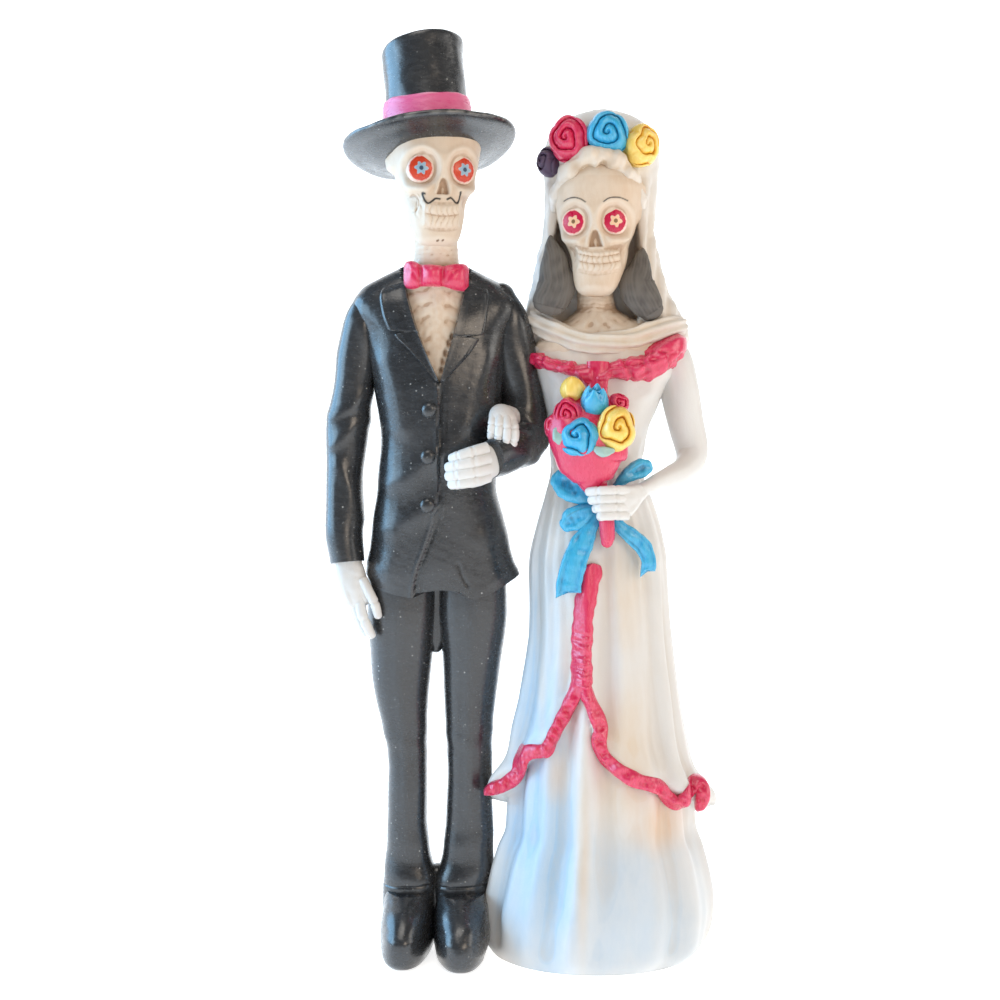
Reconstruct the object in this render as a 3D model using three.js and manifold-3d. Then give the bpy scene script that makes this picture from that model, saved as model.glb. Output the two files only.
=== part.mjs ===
// Day of the dead bride and groom: one hand-painted resin casting of two skeletons, arm in arm.
// Millimetres, +Z up. The couple faces -Y, with the groom on the -X side of the bride.
// The pose and the carving are shares of the height; what can be set by itself is named below.
import * as THREE from "three";
import Module from "manifold-3d";

const wasm = await Module();
wasm.setup();

// Driving sizes
const HEIGHT = 228; // ground to the top of the hat
const BRIM_RADIUS = 21.6;
const BRIM_THICKNESS = 2.2;
const BRIM_CURL = 1.5; // how far the two sides of the brim turn up
const CROWN_RADIUS = 10.4;
const CROWN_HEIGHT = 26.2;
const BAND_HEIGHT = 9.2; // the tipped brim hides the lower half of it from in front
const BAND_PROUD = 0.5;
const EYE_RADIUS = 3.3;
const EYE_PROUD = 1.1;
const BOW_TIE_WIDTH = 16.5;
const BOW_TIE_HEIGHT = 7.4;
const BOW_TIE_PROUD = 4.4; // in front of the neck
const LAPEL_PROUD = 2.0;
const BUTTON_RADIUS = 1.85;
const BUTTON_PROUD = 1.2;
const RIB_DEPTH = 0.7;
const GROOM_FINGER_RADIUS = 1.45;
const BRIDE_FINGER_RADIUS = 1.2;
const SHOE_LENGTH = 29;
const SHOE_HEIGHT = 15;
const CUFF_PROUD = 0.5;
const SKIRT_FOLD_DEPTH = 0.95;
const OVERSKIRT_PROUD = 1.2;
const TRIM_WIDTH = 4.2;
const TRIM_PROUD = 1.9;
const RUFFLE_CRINKLE = 0.8;
const VEIL_FOLD_DEPTH = 0.6;
const RIBBON_WIDTH = 6.4;
const RIBBON_THICKNESS = 2.8;
const ROSE_RADIUS = 5.3;
const BLOSSOM_RADIUS = 3.9;

// One millimetre of the pose, which is written for a couple 228 mm tall
const MM = HEIGHT / 228;
const TURN = 2 * Math.PI;
const { clamp, lerp, smoothstep, degToRad } = THREE.MathUtils;

// A smooth curve through rows of [place, value, value...] that never overshoots a row.
function through(rows) {
  const last = rows.length - 1;
  const rise = (i, c) => (rows[i + 1][c] - rows[i][c]) / (rows[i + 1][0] - rows[i][0]);
  const slope = (i, c) => {
    if (i === 0) return rise(0, c);
    if (i === last) return rise(last - 1, c);
    const before = rise(i - 1, c);
    const after = rise(i, c);
    return before * after <= 0 ? 0 : (2 * before * after) / (before + after);
  };
  return (place) => {
    let i = 0;
    while (i < last - 1 && place > rows[i + 1][0]) i += 1;
    const step = rows[i + 1][0] - rows[i][0];
    const t = clamp((place - rows[i][0]) / step, 0, 1);
    return rows[i].slice(1).map((start, k) => {
      const end = rows[i + 1][k + 1];
      const bend = t * t * (3 - 2 * t);
      const lead = t * (1 - t) * (1 - t) * slope(i, k + 1);
      const trail = t * t * (1 - t) * slope(i + 1, k + 1);
      return lerp(start, end, bend) + step * (lead - trail);
    });
  };
}

// A rounded bump of height 1 around (0, 0).
const bump = (across, up) => Math.exp(-across * across - up * up);

// The closed form as a solid that can be joined and cut.
function solid(form) {
  return new wasm.Manifold(
    new wasm.Mesh({
      numProp: 3,
      vertProperties: form.attributes.position.array,
      triVerts: new Uint32Array(form.index.array),
    }),
  );
}

function formOf(made) {
  const { vertProperties, triVerts } = made.getMesh();
  const form = new THREE.BufferGeometry();
  form.setAttribute("position", new THREE.BufferAttribute(vertProperties, 3));
  form.setIndex(new THREE.BufferAttribute(triVerts, 1));
  return form;
}

// A closed skin over rings of points, each ring turning counter-clockwise about the way it advances.
function skin(rings) {
  const sides = rings[0].length;
  const top = (rings.length - 1) * sides;
  const points = rings.flat();
  const middle = (ring) => [0, 1, 2].map((k) => ring.reduce((sum, p) => sum + p[k], 0) / sides);
  const first = points.push(middle(rings[0])) - 1;
  const final = points.push(middle(rings[rings.length - 1])) - 1;
  const triangles = [];
  for (let j = 0; j < sides; j += 1) {
    const k = (j + 1) % sides;
    triangles.push(first, k, j, final, top + j, top + k);
    for (let row = 0; row < top; row += sides) {
      triangles.push(row + j, row + k, row + sides + k);
      triangles.push(row + j, row + sides + k, row + sides + j);
    }
  }
  const form = new THREE.BufferGeometry();
  form.setAttribute("position", new THREE.Float32BufferAttribute(points.flat(), 3));
  form.setIndex(triangles);
  return form;
}

// Levels from low to high, in even steps.
const levels = (low, high, count) =>
  Array.from({ length: count + 1 }, (_, i) => lerp(low, high, i / count));

const oval = (value, power) => Math.sign(value) * Math.abs(value) ** (2 / power);

// An upright form through rows of [height, centre x, centre y, half width, front, back, roundness].
// relief(angle, height) adds to it outwards, and shape(point) moves each finished point.
function loft({ rows, heights, sides, relief = () => 0, shape = (p) => p }) {
  const at = through(rows);
  const rings = heights.map((z) => {
    const [cx, cy, half, front, back, power] = at(z);
    return Array.from({ length: sides }, (_, j) => {
      const angle = (TURN * j) / sides;
      const deep = Math.sin(angle) > 0 ? back : front;
      const out = relief(angle, z);
      const x = cx + half * oval(Math.cos(angle), power) + out * Math.cos(angle);
      const y = cy + deep * oval(Math.sin(angle), power) + out * Math.sin(angle);
      return shape([x, y, z]).map((v) => v * MM);
    });
  });
  return skin(rings);
}

// A limb along points of [x, y, z, half width, half thickness], its width lying along across. Its first
// end is flat, inside what it grows from, and its last end is rounded.
function limb({ points, sides = 8, steps = 6, across = [1, 0, 0], wave = () => 1 }) {
  const path = new THREE.CatmullRomCurve3(points.map(([x, y, z]) => new THREE.Vector3(x, y, z)));
  const last = points.length - 1;
  const size = through(points.map((p, i) => [i / last, p[3], p[4] ?? p[3]]));
  const side = new THREE.Vector3(...across);
  const ring = (t, slip, grow) => {
    const way = path.getTangent(t);
    const wide = side.clone().addScaledVector(way, -side.dot(way)).normalize();
    const thick = way.clone().cross(wide);
    const [w, h] = size(t).map((v) => v * grow);
    const centre = path.getPoint(t).addScaledVector(way, slip * Math.min(...size(t)));
    return Array.from({ length: sides }, (_, j) => {
      const angle = (TURN * (j + 0.5)) / sides;
      const swell = wave(t, angle);
      const p = centre.clone();
      p.addScaledVector(wide, w * swell * Math.cos(angle));
      p.addScaledVector(thick, h * swell * Math.sin(angle));
      return [p.x * MM, p.y * MM, p.z * MM];
    });
  };
  return skin([...levels(0, 1, steps).map((t) => ring(t, 0, 1)), ring(1, 0.85, 0.5)]);
}

// A turned form through [radius, height] pairs from the bottom to the top, flat at both ends.
function turned(profile, sides) {
  return skin(
    profile.map(([radius, z]) =>
      Array.from({ length: sides }, (_, j) => {
        const angle = (TURN * j) / sides;
        return [radius * Math.cos(angle), radius * Math.sin(angle), z];
      }),
    ),
  );
}

// A strip laid on the front of a form: centre line [x, z], half width across, height above the surface.
// surface(x, z) is the y of the form's front, and the strip's under side is sunk into it.
function strip({ line, half, proud, surface, steps, ruffle = () => 0 }) {
  const sunk = 2.2;
  const path = new THREE.CatmullRomCurve3(line.map(([x, z]) => new THREE.Vector3(x, 0, z)));
  const rings = levels(0, 1, steps).map((t) => {
    const p = path.getPoint(t);
    const way = path.getTangent(t);
    const edges = [-1, 1].map((side) => {
      const reach = side * half(t) + ruffle(t);
      return [p.x + way.z * reach, p.z - way.x * reach];
    });
    const outer = edges.map(([x, z]) => [x, surface(x, z) - proud, z]);
    const under = edges.reverse().map(([x, z]) => [x, surface(x, z) + sunk, z]);
    return [...outer, ...under].map((point) => point.map((v) => v * MM));
  });
  return skin(rings);
}

// The front of an upright form made of the same rows as a loft.
function frontOf(rows, relief = () => 0) {
  const at = through(rows);
  return (x, z) => {
    const [cx, cy, half, front, , power] = at(z);
    const across = clamp((x - cx) / half, -0.985, 0.985);
    const y = cy - front * (1 - Math.abs(across) ** power) ** (1 / power);
    return y - relief(Math.atan2(y - cy, x - cx), z) * 0.9;
  };
}

const place = (form, x, y, z) => form.translate(x * MM, y * MM, z * MM);

// Turned about X, then Y, then Z, in degrees.
const rotate = (form, x, y, z) => form.rotateX(degToRad(x)).rotateY(degToRad(y)).rotateZ(degToRad(z));

// Skull, shared by the two heads: heights are from the middle of the eyes, and the face looks along -Y
const SKULL = [
  [-17.4, 0, -6.0, 4.3, 3.2, 2.6, 2.8],
  [-15.4, 0, -5.4, 5.6, 4.8, 4.6, 2.8],
  [-12.0, 0, -4.6, 6.6, 6.4, 6.4, 2.8],
  [-8.0, 0, -3.2, 7.4, 8.0, 8.0, 2.5],
  [-4.6, 0, -1.8, 9.0, 8.6, 9.6, 2.3],
  [-1.2, 0, -1.0, 9.9, 9.2, 10.6, 2.3],
  [4.0, 0, -0.4, 10.8, 10.4, 11.4, 2.3],
  [9.0, 0, 0.0, 11.6, 10.4, 11.4, 2.2],
  [13.5, 0, 0.4, 9.6, 8.8, 9.6, 2.1],
  [17.0, 0, 0.6, 3.4, 3.4, 3.6, 2.0],
];
const SKULL_LEVELS = [-17.4, -15, -12, -8.6, -6, -4, -1, 2, 5, 10, 14.4, 17];
const EYES = { spread: 5.25, front: -8.6, turn: 13 };

// Sockets, cheekbones, nose hole, and the bulge of the teeth, in millimetres outwards.
function skullRelief(angle, z) {
  const facing = -Math.sin(angle);
  if (facing < 0.1) return 0;
  const x = 10 * Math.cos(angle);
  const sockets = -1.1 * (bump((x - EYES.spread) / 3.4, z / 3.6) + bump((x + EYES.spread) / 3.4, z / 3.6));
  const cheeks = 1.1 * (bump((x - 7) / 2.2, (z + 4.6) / 1.8) + bump((x + 7) / 2.2, (z + 4.6) / 1.8));
  const nose = -1.8 * bump(x / 1.9, (z + 4.2) / 2.0);
  const bridge = 0.9 * bump(x / 1.6, (z - 0.6) / 2.4);
  const brow = 0.7 * bump(x / 6, (z - 4.4) / 1.6);
  const teeth = 1.0 * bump(x / 5, (z + 11.5) / 4);
  return sockets + cheeks + nose + bridge + brow + teeth;
}

function skull({ x, y, z, turn, scale }) {
  const parts = [
    loft({ rows: SKULL, heights: SKULL_LEVELS, sides: 16, relief: skullRelief }),
  ];
  for (const side of [-1, 1]) {
    const dome = turned(
      [
        [EYE_RADIUS, -3 * EYE_PROUD],
        [EYE_RADIUS, 0],
        [0.5 * EYE_RADIUS, EYE_PROUD],
      ],
      10,
    );
    parts.push(place(rotate(dome, 90, 0, side * EYES.turn), side * EYES.spread, EYES.front, 0));
  }
  return parts.map((form) => place(rotate(form.scale(scale, scale, scale), 0, 0, turn), x, y, z));
}

// Hat: turned upright, then tipped back and to one side on the groom's head
const HAT_SEAT = [-22.6, 1.2, 200.6];
const HAT_TIP_BACK = -11;
const HAT_LEAN = -6;
const CROWN_LEAN = 1;

function hat() {
  const sides = 20;
  const rim = BRIM_THICKNESS / 2;
  const foot = rim + BAND_HEIGHT;
  const brim = turned(
    [
      [0.75 * BRIM_RADIUS, -rim],
      [BRIM_RADIUS, -0.4 * rim],
      [BRIM_RADIUS - 0.3 * rim, 0.8 * rim],
      [0.75 * BRIM_RADIUS, rim],
    ],
    sides,
  );
  const spots = brim.attributes.position;
  for (let i = 0; i < spots.count; i += 1) {
    const beyond = Math.max(0, Math.abs(spots.getX(i)) / BRIM_RADIUS - 0.6);
    spots.setZ(i, spots.getZ(i) + BRIM_CURL * (beyond / 0.4) ** 1.5);
  }
  const crown = turned(
    [
      [CROWN_RADIUS, 0],
      [0.94 * CROWN_RADIUS, 0.55 * CROWN_HEIGHT],
      [0.985 * CROWN_RADIUS, 0.95 * CROWN_HEIGHT],
      [0.94 * CROWN_RADIUS, CROWN_HEIGHT],
    ],
    sides,
  );
  const band = turned(
    [
      [CROWN_RADIUS + BAND_PROUD, 0],
      [CROWN_RADIUS + BAND_PROUD, foot],
    ],
    sides,
  );
  return [brim, rotate(crown, 0, CROWN_LEAN, 0), rotate(band, 0, CROWN_LEAN, 0)].map((form) =>
    place(rotate(form, HAT_TIP_BACK, HAT_LEAN, 0), ...HAT_SEAT),
  );
}

// Groom's coat, from the hem to the shoulders
const COAT = [
  [87.0, -20.0, 0.6, 17.4, 9.8, 10.2, 2.4],
  [90.4, -19.8, 0.6, 18.3, 10.6, 10.8, 2.4],
  [94.2, -19.9, 0.5, 18.9, 10.9, 10.9, 2.4],
  [98.0, -20.6, 0.4, 18.0, 10.9, 10.6, 2.4],
  [109.3, -21.0, 0.2, 15.8, 11.2, 10.0, 2.4],
  [116.8, -21.0, 0.0, 14.8, 11.4, 9.6, 2.4],
  [128.0, -20.5, 0.0, 14.4, 11.8, 9.8, 2.4],
  [139.2, -20.9, 0.0, 15.4, 11.8, 10.4, 2.4],
  [154.1, -20.9, 0.3, 18.1, 11.0, 11.0, 2.5],
  [161.4, -21.0, 0.6, 21.0, 9.2, 10.2, 2.5],
  [165.4, -21.2, 0.9, 18.6, 7.6, 8.8, 2.5],
  [168.6, -21.4, 1.2, 13.0, 6.2, 7.4, 2.4],
  [171.4, -21.4, 1.4, 7.4, 4.6, 6.0, 2.2],
];
const BUTTON_LINE = { x: -22.6, heights: [135.2, 123.8, 111.6] };
const NECKLINE = { left: -29.4, right: -12.9, top: 172.5, pointX: -20.2, pointZ: 142.8 };

// Creases run down from the buttons and up from the hem.
function coatRelief(angle, z) {
  const front = Math.max(0, -Math.sin(angle));
  const back = Math.max(0, Math.sin(angle));
  const waist = smoothstep(z, 96, 112) * (1 - smoothstep(z, 132, 150));
  const creases = 0.35 * waist * Math.cos(9 * angle + 0.16 * z);
  const vent = -0.9 * back * bump(Math.cos(angle) / 0.1, 0) * (1 - smoothstep(z, 104, 112));
  return front * creases + vent;
}

const coatFront = frontOf(COAT);

// The hem rises at the two sides, and a little between the two fronts.
function coatHem([x, y, z]) {
  const low = 1 - smoothstep(z, 87, 101);
  const aside = Math.min(1, Math.abs(x + 20) / 19);
  return [x, y, z + low * (1.6 + 4.4 * aside ** 4 + 2.4 * bump((x + 20.4) / 5, 0))];
}

function coat() {
  const body = loft({
    rows: COAT,
    heights: [87, 90.4, 94.2, 101, 112, 124, 138, 152, 161.4, 165.6, 168.8, 171.4],
    sides: 22,
    relief: coatRelief,
    shape: coatHem,
  });
  const { left, right, top, pointX, pointZ } = NECKLINE;
  const wedge = [-16, -8.2].map((y) => [
    [right, y, top],
    [pointX, y, pointZ],
    [left, y, top],
  ]);
  const cut = skin(wedge.map((ring) => ring.map((p) => p.map((v) => v * MM))));
  return formOf(solid(body).subtract(solid(cut)));
}

// Neck and ribcage inside the open coat
const CHEST = [
  [139.0, -20.6, -5.0, 5.0, 4.4, 4.0, 2.0],
  [146.0, -20.6, -4.4, 7.4, 5.8, 4.0, 2.0],
  [158.0, -20.8, -3.6, 8.8, 6.0, 4.0, 2.0],
  [165.0, -21.0, -2.4, 7.6, 5.4, 4.0, 2.0],
  [169.0, -21.2, -1.6, 5.2, 4.8, 4.4, 2.0],
  [174.0, -21.0, -1.4, 4.7, 4.6, 4.6, 2.0],
  [181.0, -20.6, -2.0, 4.9, 4.8, 4.8, 2.0],
];

function chest() {
  const pitch = 4.4;
  const ribs = (angle, z) => {
    const below = 1 - smoothstep(z, 164, 168);
    const drop = 1.6 * Math.abs(Math.cos(angle));
    const ringed = 0.4 * smoothstep(z, 170, 172) * Math.cos((TURN * z) / 3.4);
    return (RIB_DEPTH / MM) * below * Math.cos((TURN * (z + drop)) / pitch) + ringed;
  };
  return loft({ rows: CHEST, heights: [...levels(145.2, 163, 8), 168, 179], sides: 10, relief: ribs });
}

// A lapel is a strip along the open edge, wider where its collar notch is.
function lapel(side) {
  const { left, right, top, pointX, pointZ } = NECKLINE;
  const edge = side < 0 ? left : right;
  const line = [
    [pointX + side * 0.8, pointZ - 1.2],
    [lerp(pointX, edge, 0.45) + side * 1.6, lerp(pointZ, top, 0.33)],
    [lerp(pointX, edge, 0.72) + side * 3.4, lerp(pointZ, top, 0.6)],
    [edge + side * 3.0, top - 6.5],
    [edge + side * 1.4, top - 2.6],
  ];
  const width = through([
    [0, 0.9],
    [0.35, 2.4],
    [0.5, 4.0],
    [0.58, 1.4],
    [0.66, 3.8],
    [0.85, 2.8],
    [1, 1.8],
  ]);
  return strip({
    line,
    half: (t) => width(t)[0],
    proud: LAPEL_PROUD / MM,
    surface: coatFront,
    steps: 9,
  });
}

function coatEdge() {
  return strip({
    line: [
      [-26.0, 90.6],
      [-24.6, 97.0],
      [-22.6, 104.0],
      [-21.4, 112.0],
      [-21.2, 142.0],
    ],
    half: () => 1.3,
    proud: (0.7 * LAPEL_PROUD) / MM,
    surface: coatFront,
    steps: 7,
  });
}

function buttons() {
  return BUTTON_LINE.heights.map((z) => {
    const disc = turned(
      [
        [BUTTON_RADIUS, -2.5 * BUTTON_PROUD],
        [BUTTON_RADIUS, 0.5 * BUTTON_PROUD],
        [0.55 * BUTTON_RADIUS, BUTTON_PROUD],
      ],
      8,
    );
    const { x } = BUTTON_LINE;
    return place(rotate(disc, 90, 0, 0), x, coatFront(x, z) - (0.7 * LAPEL_PROUD) / MM, z);
  });
}

function bowTie() {
  const half = BOW_TIE_WIDTH / 2 / MM;
  const tall = BOW_TIE_HEIGHT / 2 / MM;
  const deep = BOW_TIE_PROUD / 2 / MM;
  const [x, z] = [-21.0, 168.0];
  const y = frontOf(CHEST)(x, z) - deep + 0.5;
  const lobes = [-1, 1].map((side) =>
    limb({
      points: [
        [x, y + 0.5, z, 0.5 * tall, deep + 0.2],
        [x + side * 0.5 * half, y + 0.9, z + 0.2, tall, deep + 0.3],
        [x + side * 0.88 * half, y + 2.2, z, 1.1 * tall, deep + 0.1],
      ],
      sides: 6,
      steps: 3,
      across: [0, 0, 1],
    }),
  );
  const knot = limb({
    points: [
      [x, y, z - 0.42 * tall, 0.3 * half, deep + 0.5],
      [x, y, z + 0.42 * tall, 0.3 * half, deep + 0.5],
    ],
    sides: 6,
    steps: 1,
  });
  return [...lobes, knot];
}

// Sleeves: the groom's right arm hangs, and his left arm is bent across his waist
function sleeves() {
  const hanging = limb({
    points: [
      [-37.4, 0.8, 161.0, 4.6, 5.6],
      [-39.8, 0.8, 155.0, 5.2, 6.2],
      [-41.2, 0.8, 147.0, 5.0, 6.0],
      [-43.4, 0.8, 133.0, 5.4, 6.0],
      [-44.0, -0.4, 118.0, 4.6, 5.4],
      [-44.1, -2.0, 106.0, 4.7, 5.4],
      [-43.2, -3.2, 98.6, 4.2, 4.8],
    ],
    sides: 8,
    steps: 7,
  });
  const bent = limb({
    points: [
      [-5.0, 0.8, 161.0, 4.4, 5.6],
      [-2.8, 0.8, 155.0, 5.0, 6.2],
      [-0.8, 0.4, 145.0, 5.2, 5.8],
      [1.2, 0.0, 135.0, 5.2, 5.6],
      [1.6, -2.6, 128.4, 4.8, 5.0],
      [-2.2, -9.6, 125.4, 4.6, 4.8],
      [-7.2, -14.4, 123.8, 3.2, 4.7],
    ],
    sides: 8,
    steps: 8,
    across: [0.9, 0.44, 0],
  });
  return [hanging, bent];
}

const TROUSERS_LEFT = [
  [12.0, -27.9, 0.4, 6.9, 6.6, 6.0, 2.2],
  [16.2, -27.9, 0.4, 6.8, 6.4, 6.2, 2.2],
  [22.0, -28.2, 0.6, 5.9, 5.9, 6.0, 2.2],
  [33.3, -28.6, 0.8, 5.0, 5.6, 5.8, 2.2],
  [44.8, -28.6, 0.8, 4.9, 5.6, 5.8, 2.2],
  [56.2, -29.3, 0.8, 5.8, 6.2, 6.2, 2.2],
  [71.5, -30.2, 0.6, 7.5, 7.2, 7.4, 2.2],
  [86.6, -29.8, 0.6, 8.6, 8.4, 8.6, 2.3],
  [98.0, -29.6, 0.6, 8.6, 8.6, 8.8, 2.3],
];
const TROUSERS_RIGHT = [
  [12.0, -15.0, 0.0, 7.0, 6.6, 6.0, 2.2],
  [15.6, -14.9, 0.0, 7.0, 6.6, 6.2, 2.2],
  [22.0, -13.6, 0.2, 6.6, 6.2, 6.0, 2.2],
  [33.3, -12.9, 0.6, 5.9, 5.8, 5.8, 2.2],
  [44.8, -12.9, 0.6, 5.6, 5.8, 5.8, 2.2],
  [56.2, -13.0, 0.6, 6.0, 6.3, 6.2, 2.2],
  [71.5, -12.4, 0.6, 7.3, 7.2, 7.4, 2.2],
  [86.6, -12.0, 0.6, 8.8, 8.4, 8.6, 2.3],
  [98.0, -12.4, 0.6, 8.6, 8.6, 8.8, 2.3],
];

// A crease down the front, and a break above the shoe.
function trouserRelief(angle, z) {
  const crease = 0.5 * bump((angle - 0.75 * TURN) / 0.3, 0) * smoothstep(z, 20, 40);
  const folds = 0.3 * Math.cos(z / 1.4 + 2 * angle) * (1 - smoothstep(z, 20, 34));
  const cuff = (CUFF_PROUD / MM) * (1 - smoothstep(z, 16.4, 18));
  return crease + folds + cuff;
}

function trousers() {
  const heights = [12, 16.4, 17.8, 26, 42, 58, 71, 84, 96];
  const legs = [TROUSERS_LEFT, TROUSERS_RIGHT].map((rows) =>
    loft({ rows, heights, sides: 9, relief: trouserRelief }),
  );
  const seat = limb({
    points: [
      [-21.0, 0.6, 77.0, 2.2, 3.6],
      [-21.0, 0.6, 95.0, 6.0, 8.0],
    ],
    sides: 6,
    steps: 1,
  });
  return [...legs, seat];
}

// Shoes, flat below: the left one turns out a little
function shoes() {
  const heel = 8.2;
  const form = (x, y, turn, half) => {
    const rows = [
      [0, 0, 0, 0.93, 0.975, 0.97, 2.5],
      [0.14, 0, 0, 1.0, 1.0, 1.0, 2.5],
      [0.34, 0, 0, 1.0, 0.98, 0.96, 2.4],
      [0.56, 0, 0, 0.99, 0.88, 0.88, 2.3],
      [0.8, 0, 0, 0.96, 0.66, 0.84, 2.2],
      [1, 0, 0, 0.9, 0.42, 0.8, 2.1],
    ];
    const at = through(rows);
    const rings = [0, 0.16, 0.46, 0.76, 1].map((share) => {
      const [, , w, f, b, power] = at(share);
      return Array.from({ length: 12 }, (_, j) => {
        const angle = (TURN * j) / 12;
        const deep = Math.sin(angle) > 0 ? b * heel * MM : f * (SHOE_LENGTH - heel * MM);
        const slim = Math.sin(angle) > 0 ? 0.86 : 1;
        const px = w * half * MM * slim * oval(Math.cos(angle), power);
        return [px, deep * oval(Math.sin(angle), power), share * SHOE_HEIGHT];
      });
    });
    return place(rotate(skin(rings), 0, 0, turn), x, y, 0);
  };
  return [form(-27.9, 0.2, -4, 6.8), form(-14.8, -1.8, 0, 7.1)];
}

// Round a hand's section: [share of its width, share of its thickness], four fingers on its outer side.
const FOUR_FINGERS = [
  [1, 0.25],
  [0.76, 1],
  [0.5, 0.45],
  [0.25, 1.08],
  [0, 0.45],
  [-0.25, 1.08],
  [-0.5, 0.45],
  [-0.76, 1],
  [-1, 0.25],
  [-0.7, -0.8],
  [0.7, -0.8],
];

// A closed hand: the fingers lie side by side along points of [x, y, z, half width, half thickness],
// from the wrist to the tips. across points from the last finger to the first.
function hand({ points, across, thumb }) {
  const path = new THREE.CatmullRomCurve3(points.map(([x, y, z]) => new THREE.Vector3(x, y, z)));
  const last = points.length - 1;
  const size = through(points.map((p, i) => [i / last, p[3], p[4]]));
  const parted = through([
    [0, 0],
    [0.4, 0.35],
    [0.55, 1],
    [1, 1],
  ]);
  const side = new THREE.Vector3(...across);
  const rings = [0, 0.3, 0.52, 0.76, 0.96, 1].map((t) => {
    const way = path.getTangent(t);
    const wide = side.clone().addScaledVector(way, -side.dot(way)).normalize();
    const thick = way.clone().cross(wide);
    const [w, h] = size(t);
    const close = t === 1 ? 0.5 : 1;
    return FOUR_FINGERS.map(([s, lobe]) => {
      const deep = h * close * lerp(Math.sign(lobe) * (1 - 0.5 * s * s), lobe, parted(t)[0]);
      const p = path.getPoint(t).addScaledVector(wide, w * s * lerp(close, 1, 0.8));
      p.addScaledVector(thick, deep);
      return [p.x * MM, p.y * MM, p.z * MM];
    });
  });
  const parts = [skin(rings)];
  if (thumb) parts.push(limb({ points: thumb, sides: 5, steps: 2, across }));
  return parts;
}

function groomHands() {
  const r = GROOM_FINGER_RADIUS / MM;
  const hanging = hand({
    points: [
      [-43.2, -3.4, 97.5, 3.2, 2.2],
      [-42.6, -4.4, 92.4, 4.0, 2.2],
      [-40.8, -5.6, 87.4, 3.6, 1.15 * r],
      [-38.2, -6.2, 82.4, 3.0, r],
      [-37.0, -6.0, 79.0, 2.6, 0.8 * r],
    ],
    across: [0.86, 0.1, 0.5],
    thumb: [
      [-41.0, -5.0, 94.4, 1.2 * r],
      [-36.9, -6.6, 89.6, r],
      [-35.6, -7.2, 85.8, 0.8 * r],
    ],
  });
  const resting = hand({
    points: [
      [-6.4, -13.8, 123.8, 4.0, 2.6],
      [-9.2, -15.4, 123.4, 5.6, 2.2],
      [-11.8, -16.4, 122.8, 5.9, 1.2 * r],
      [-15.4, -16.2, 121.8, 5.4, 1.1 * r],
      [-18.0, -14.0, 120.8, 4.9, 0.8 * r],
    ],
    across: [0.1, 0, -1],
  });
  return [...hanging, ...resting];
}

// Bride's gown: rows from the ground to the waist
const GOWN = [
  [0.0, 18.2, 0.4, 25.9, 22.0, 21.6, 2.1],
  [3.0, 19.0, 0.4, 27.6, 23.0, 22.6, 2.1],
  [10.2, 19.6, 0.4, 28.2, 23.4, 23.0, 2.1],
  [18.0, 20.0, 0.3, 27.0, 22.4, 22.0, 2.1],
  [25.6, 20.0, 0.2, 25.0, 20.6, 20.4, 2.1],
  [31.0, 20.1, 0.1, 23.0, 19.6, 19.4, 2.1],
  [41.0, 20.0, 0.0, 22.4, 18.8, 18.6, 2.1],
  [48.6, 19.7, 0.0, 21.2, 18.0, 17.8, 2.1],
  [56.2, 19.5, 0.0, 20.0, 17.2, 17.0, 2.1],
  [63.9, 19.7, 0.0, 18.7, 16.4, 16.2, 2.1],
  [75.3, 19.7, 0.0, 17.5, 15.4, 15.2, 2.1],
  [86.6, 19.5, 0.0, 17.0, 14.6, 14.4, 2.1],
  [98.0, 19.2, 0.0, 16.9, 13.8, 13.8, 2.1],
  [105.5, 19.2, 0.0, 15.6, 12.8, 12.8, 2.1],
  [113.0, 19.0, 0.0, 13.4, 11.2, 11.0, 2.1],
  [118.6, 18.7, 0.0, 11.7, 9.8, 9.2, 2.1],
  [121.0, 18.6, 0.0, 11.3, 9.4, 8.8, 2.1],
];

// The overskirt's hem: high at the split in front, low at the two side tips.
const SPLIT = { x: 14.9, z: 68 };
const TIPS = { left: 37, right: 35.5 };
const hemLine = through([
  [-0.5 * TURN, TIPS.left],
  [-0.45 * TURN, 42],
  [-0.4 * TURN, 50],
  [-0.35 * TURN, 55.5],
  [-0.29 * TURN, SPLIT.z],
  [-0.26 * TURN, 55.5],
  [-0.2 * TURN, 46.4],
  [-0.157 * TURN, 45],
  [-0.1 * TURN, 41],
  [0, TIPS.right],
]);

function hemHeight(angle) {
  const around = angle > 0.5 * TURN ? angle - TURN : angle;
  const behind = around / (0.5 * TURN);
  return around <= 0 ? hemLine(around)[0] : lerp(TIPS.right, TIPS.left, behind) + 5 * Math.sin(around);
}

function gownRelief(angle, z) {
  const hem = hemHeight(angle);
  const over = smoothstep(z, hem - 1.2, hem + 0.6);
  const low = 1 - smoothstep(z, 40, 112);
  const folds = Math.cos(11 * angle + 0.8) + 0.6 * Math.cos(17 * angle - 0.02 * z);
  const tipDrop = bump(0, (z - hem - 2) / 7);
  const tips = 3.4 * tipDrop * (Math.abs(Math.cos(angle)) ** 10) * (1 - smoothstep(z, hem + 2, hem + 14));
  const edge = 1.1 * bump(0, (z - hem - 1.5) / 5);
  const depth = (SKIRT_FOLD_DEPTH / MM) * (0.25 + 0.75 * low);
  return depth * folds + over * ((OVERSKIRT_PROUD / MM) * low + tips + edge);
}

const gownFront = frontOf(GOWN, gownRelief);

function gown() {
  return loft({
    rows: GOWN,
    heights: [0, 3, 12, 22, 31, 36, 41, 47, 53, 60, 68, 82, 97, 110, 120],
    sides: 27,
    relief: (angle, z) => gownRelief(angle, z) * smoothstep(z, -6, 5),
  });
}

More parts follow.
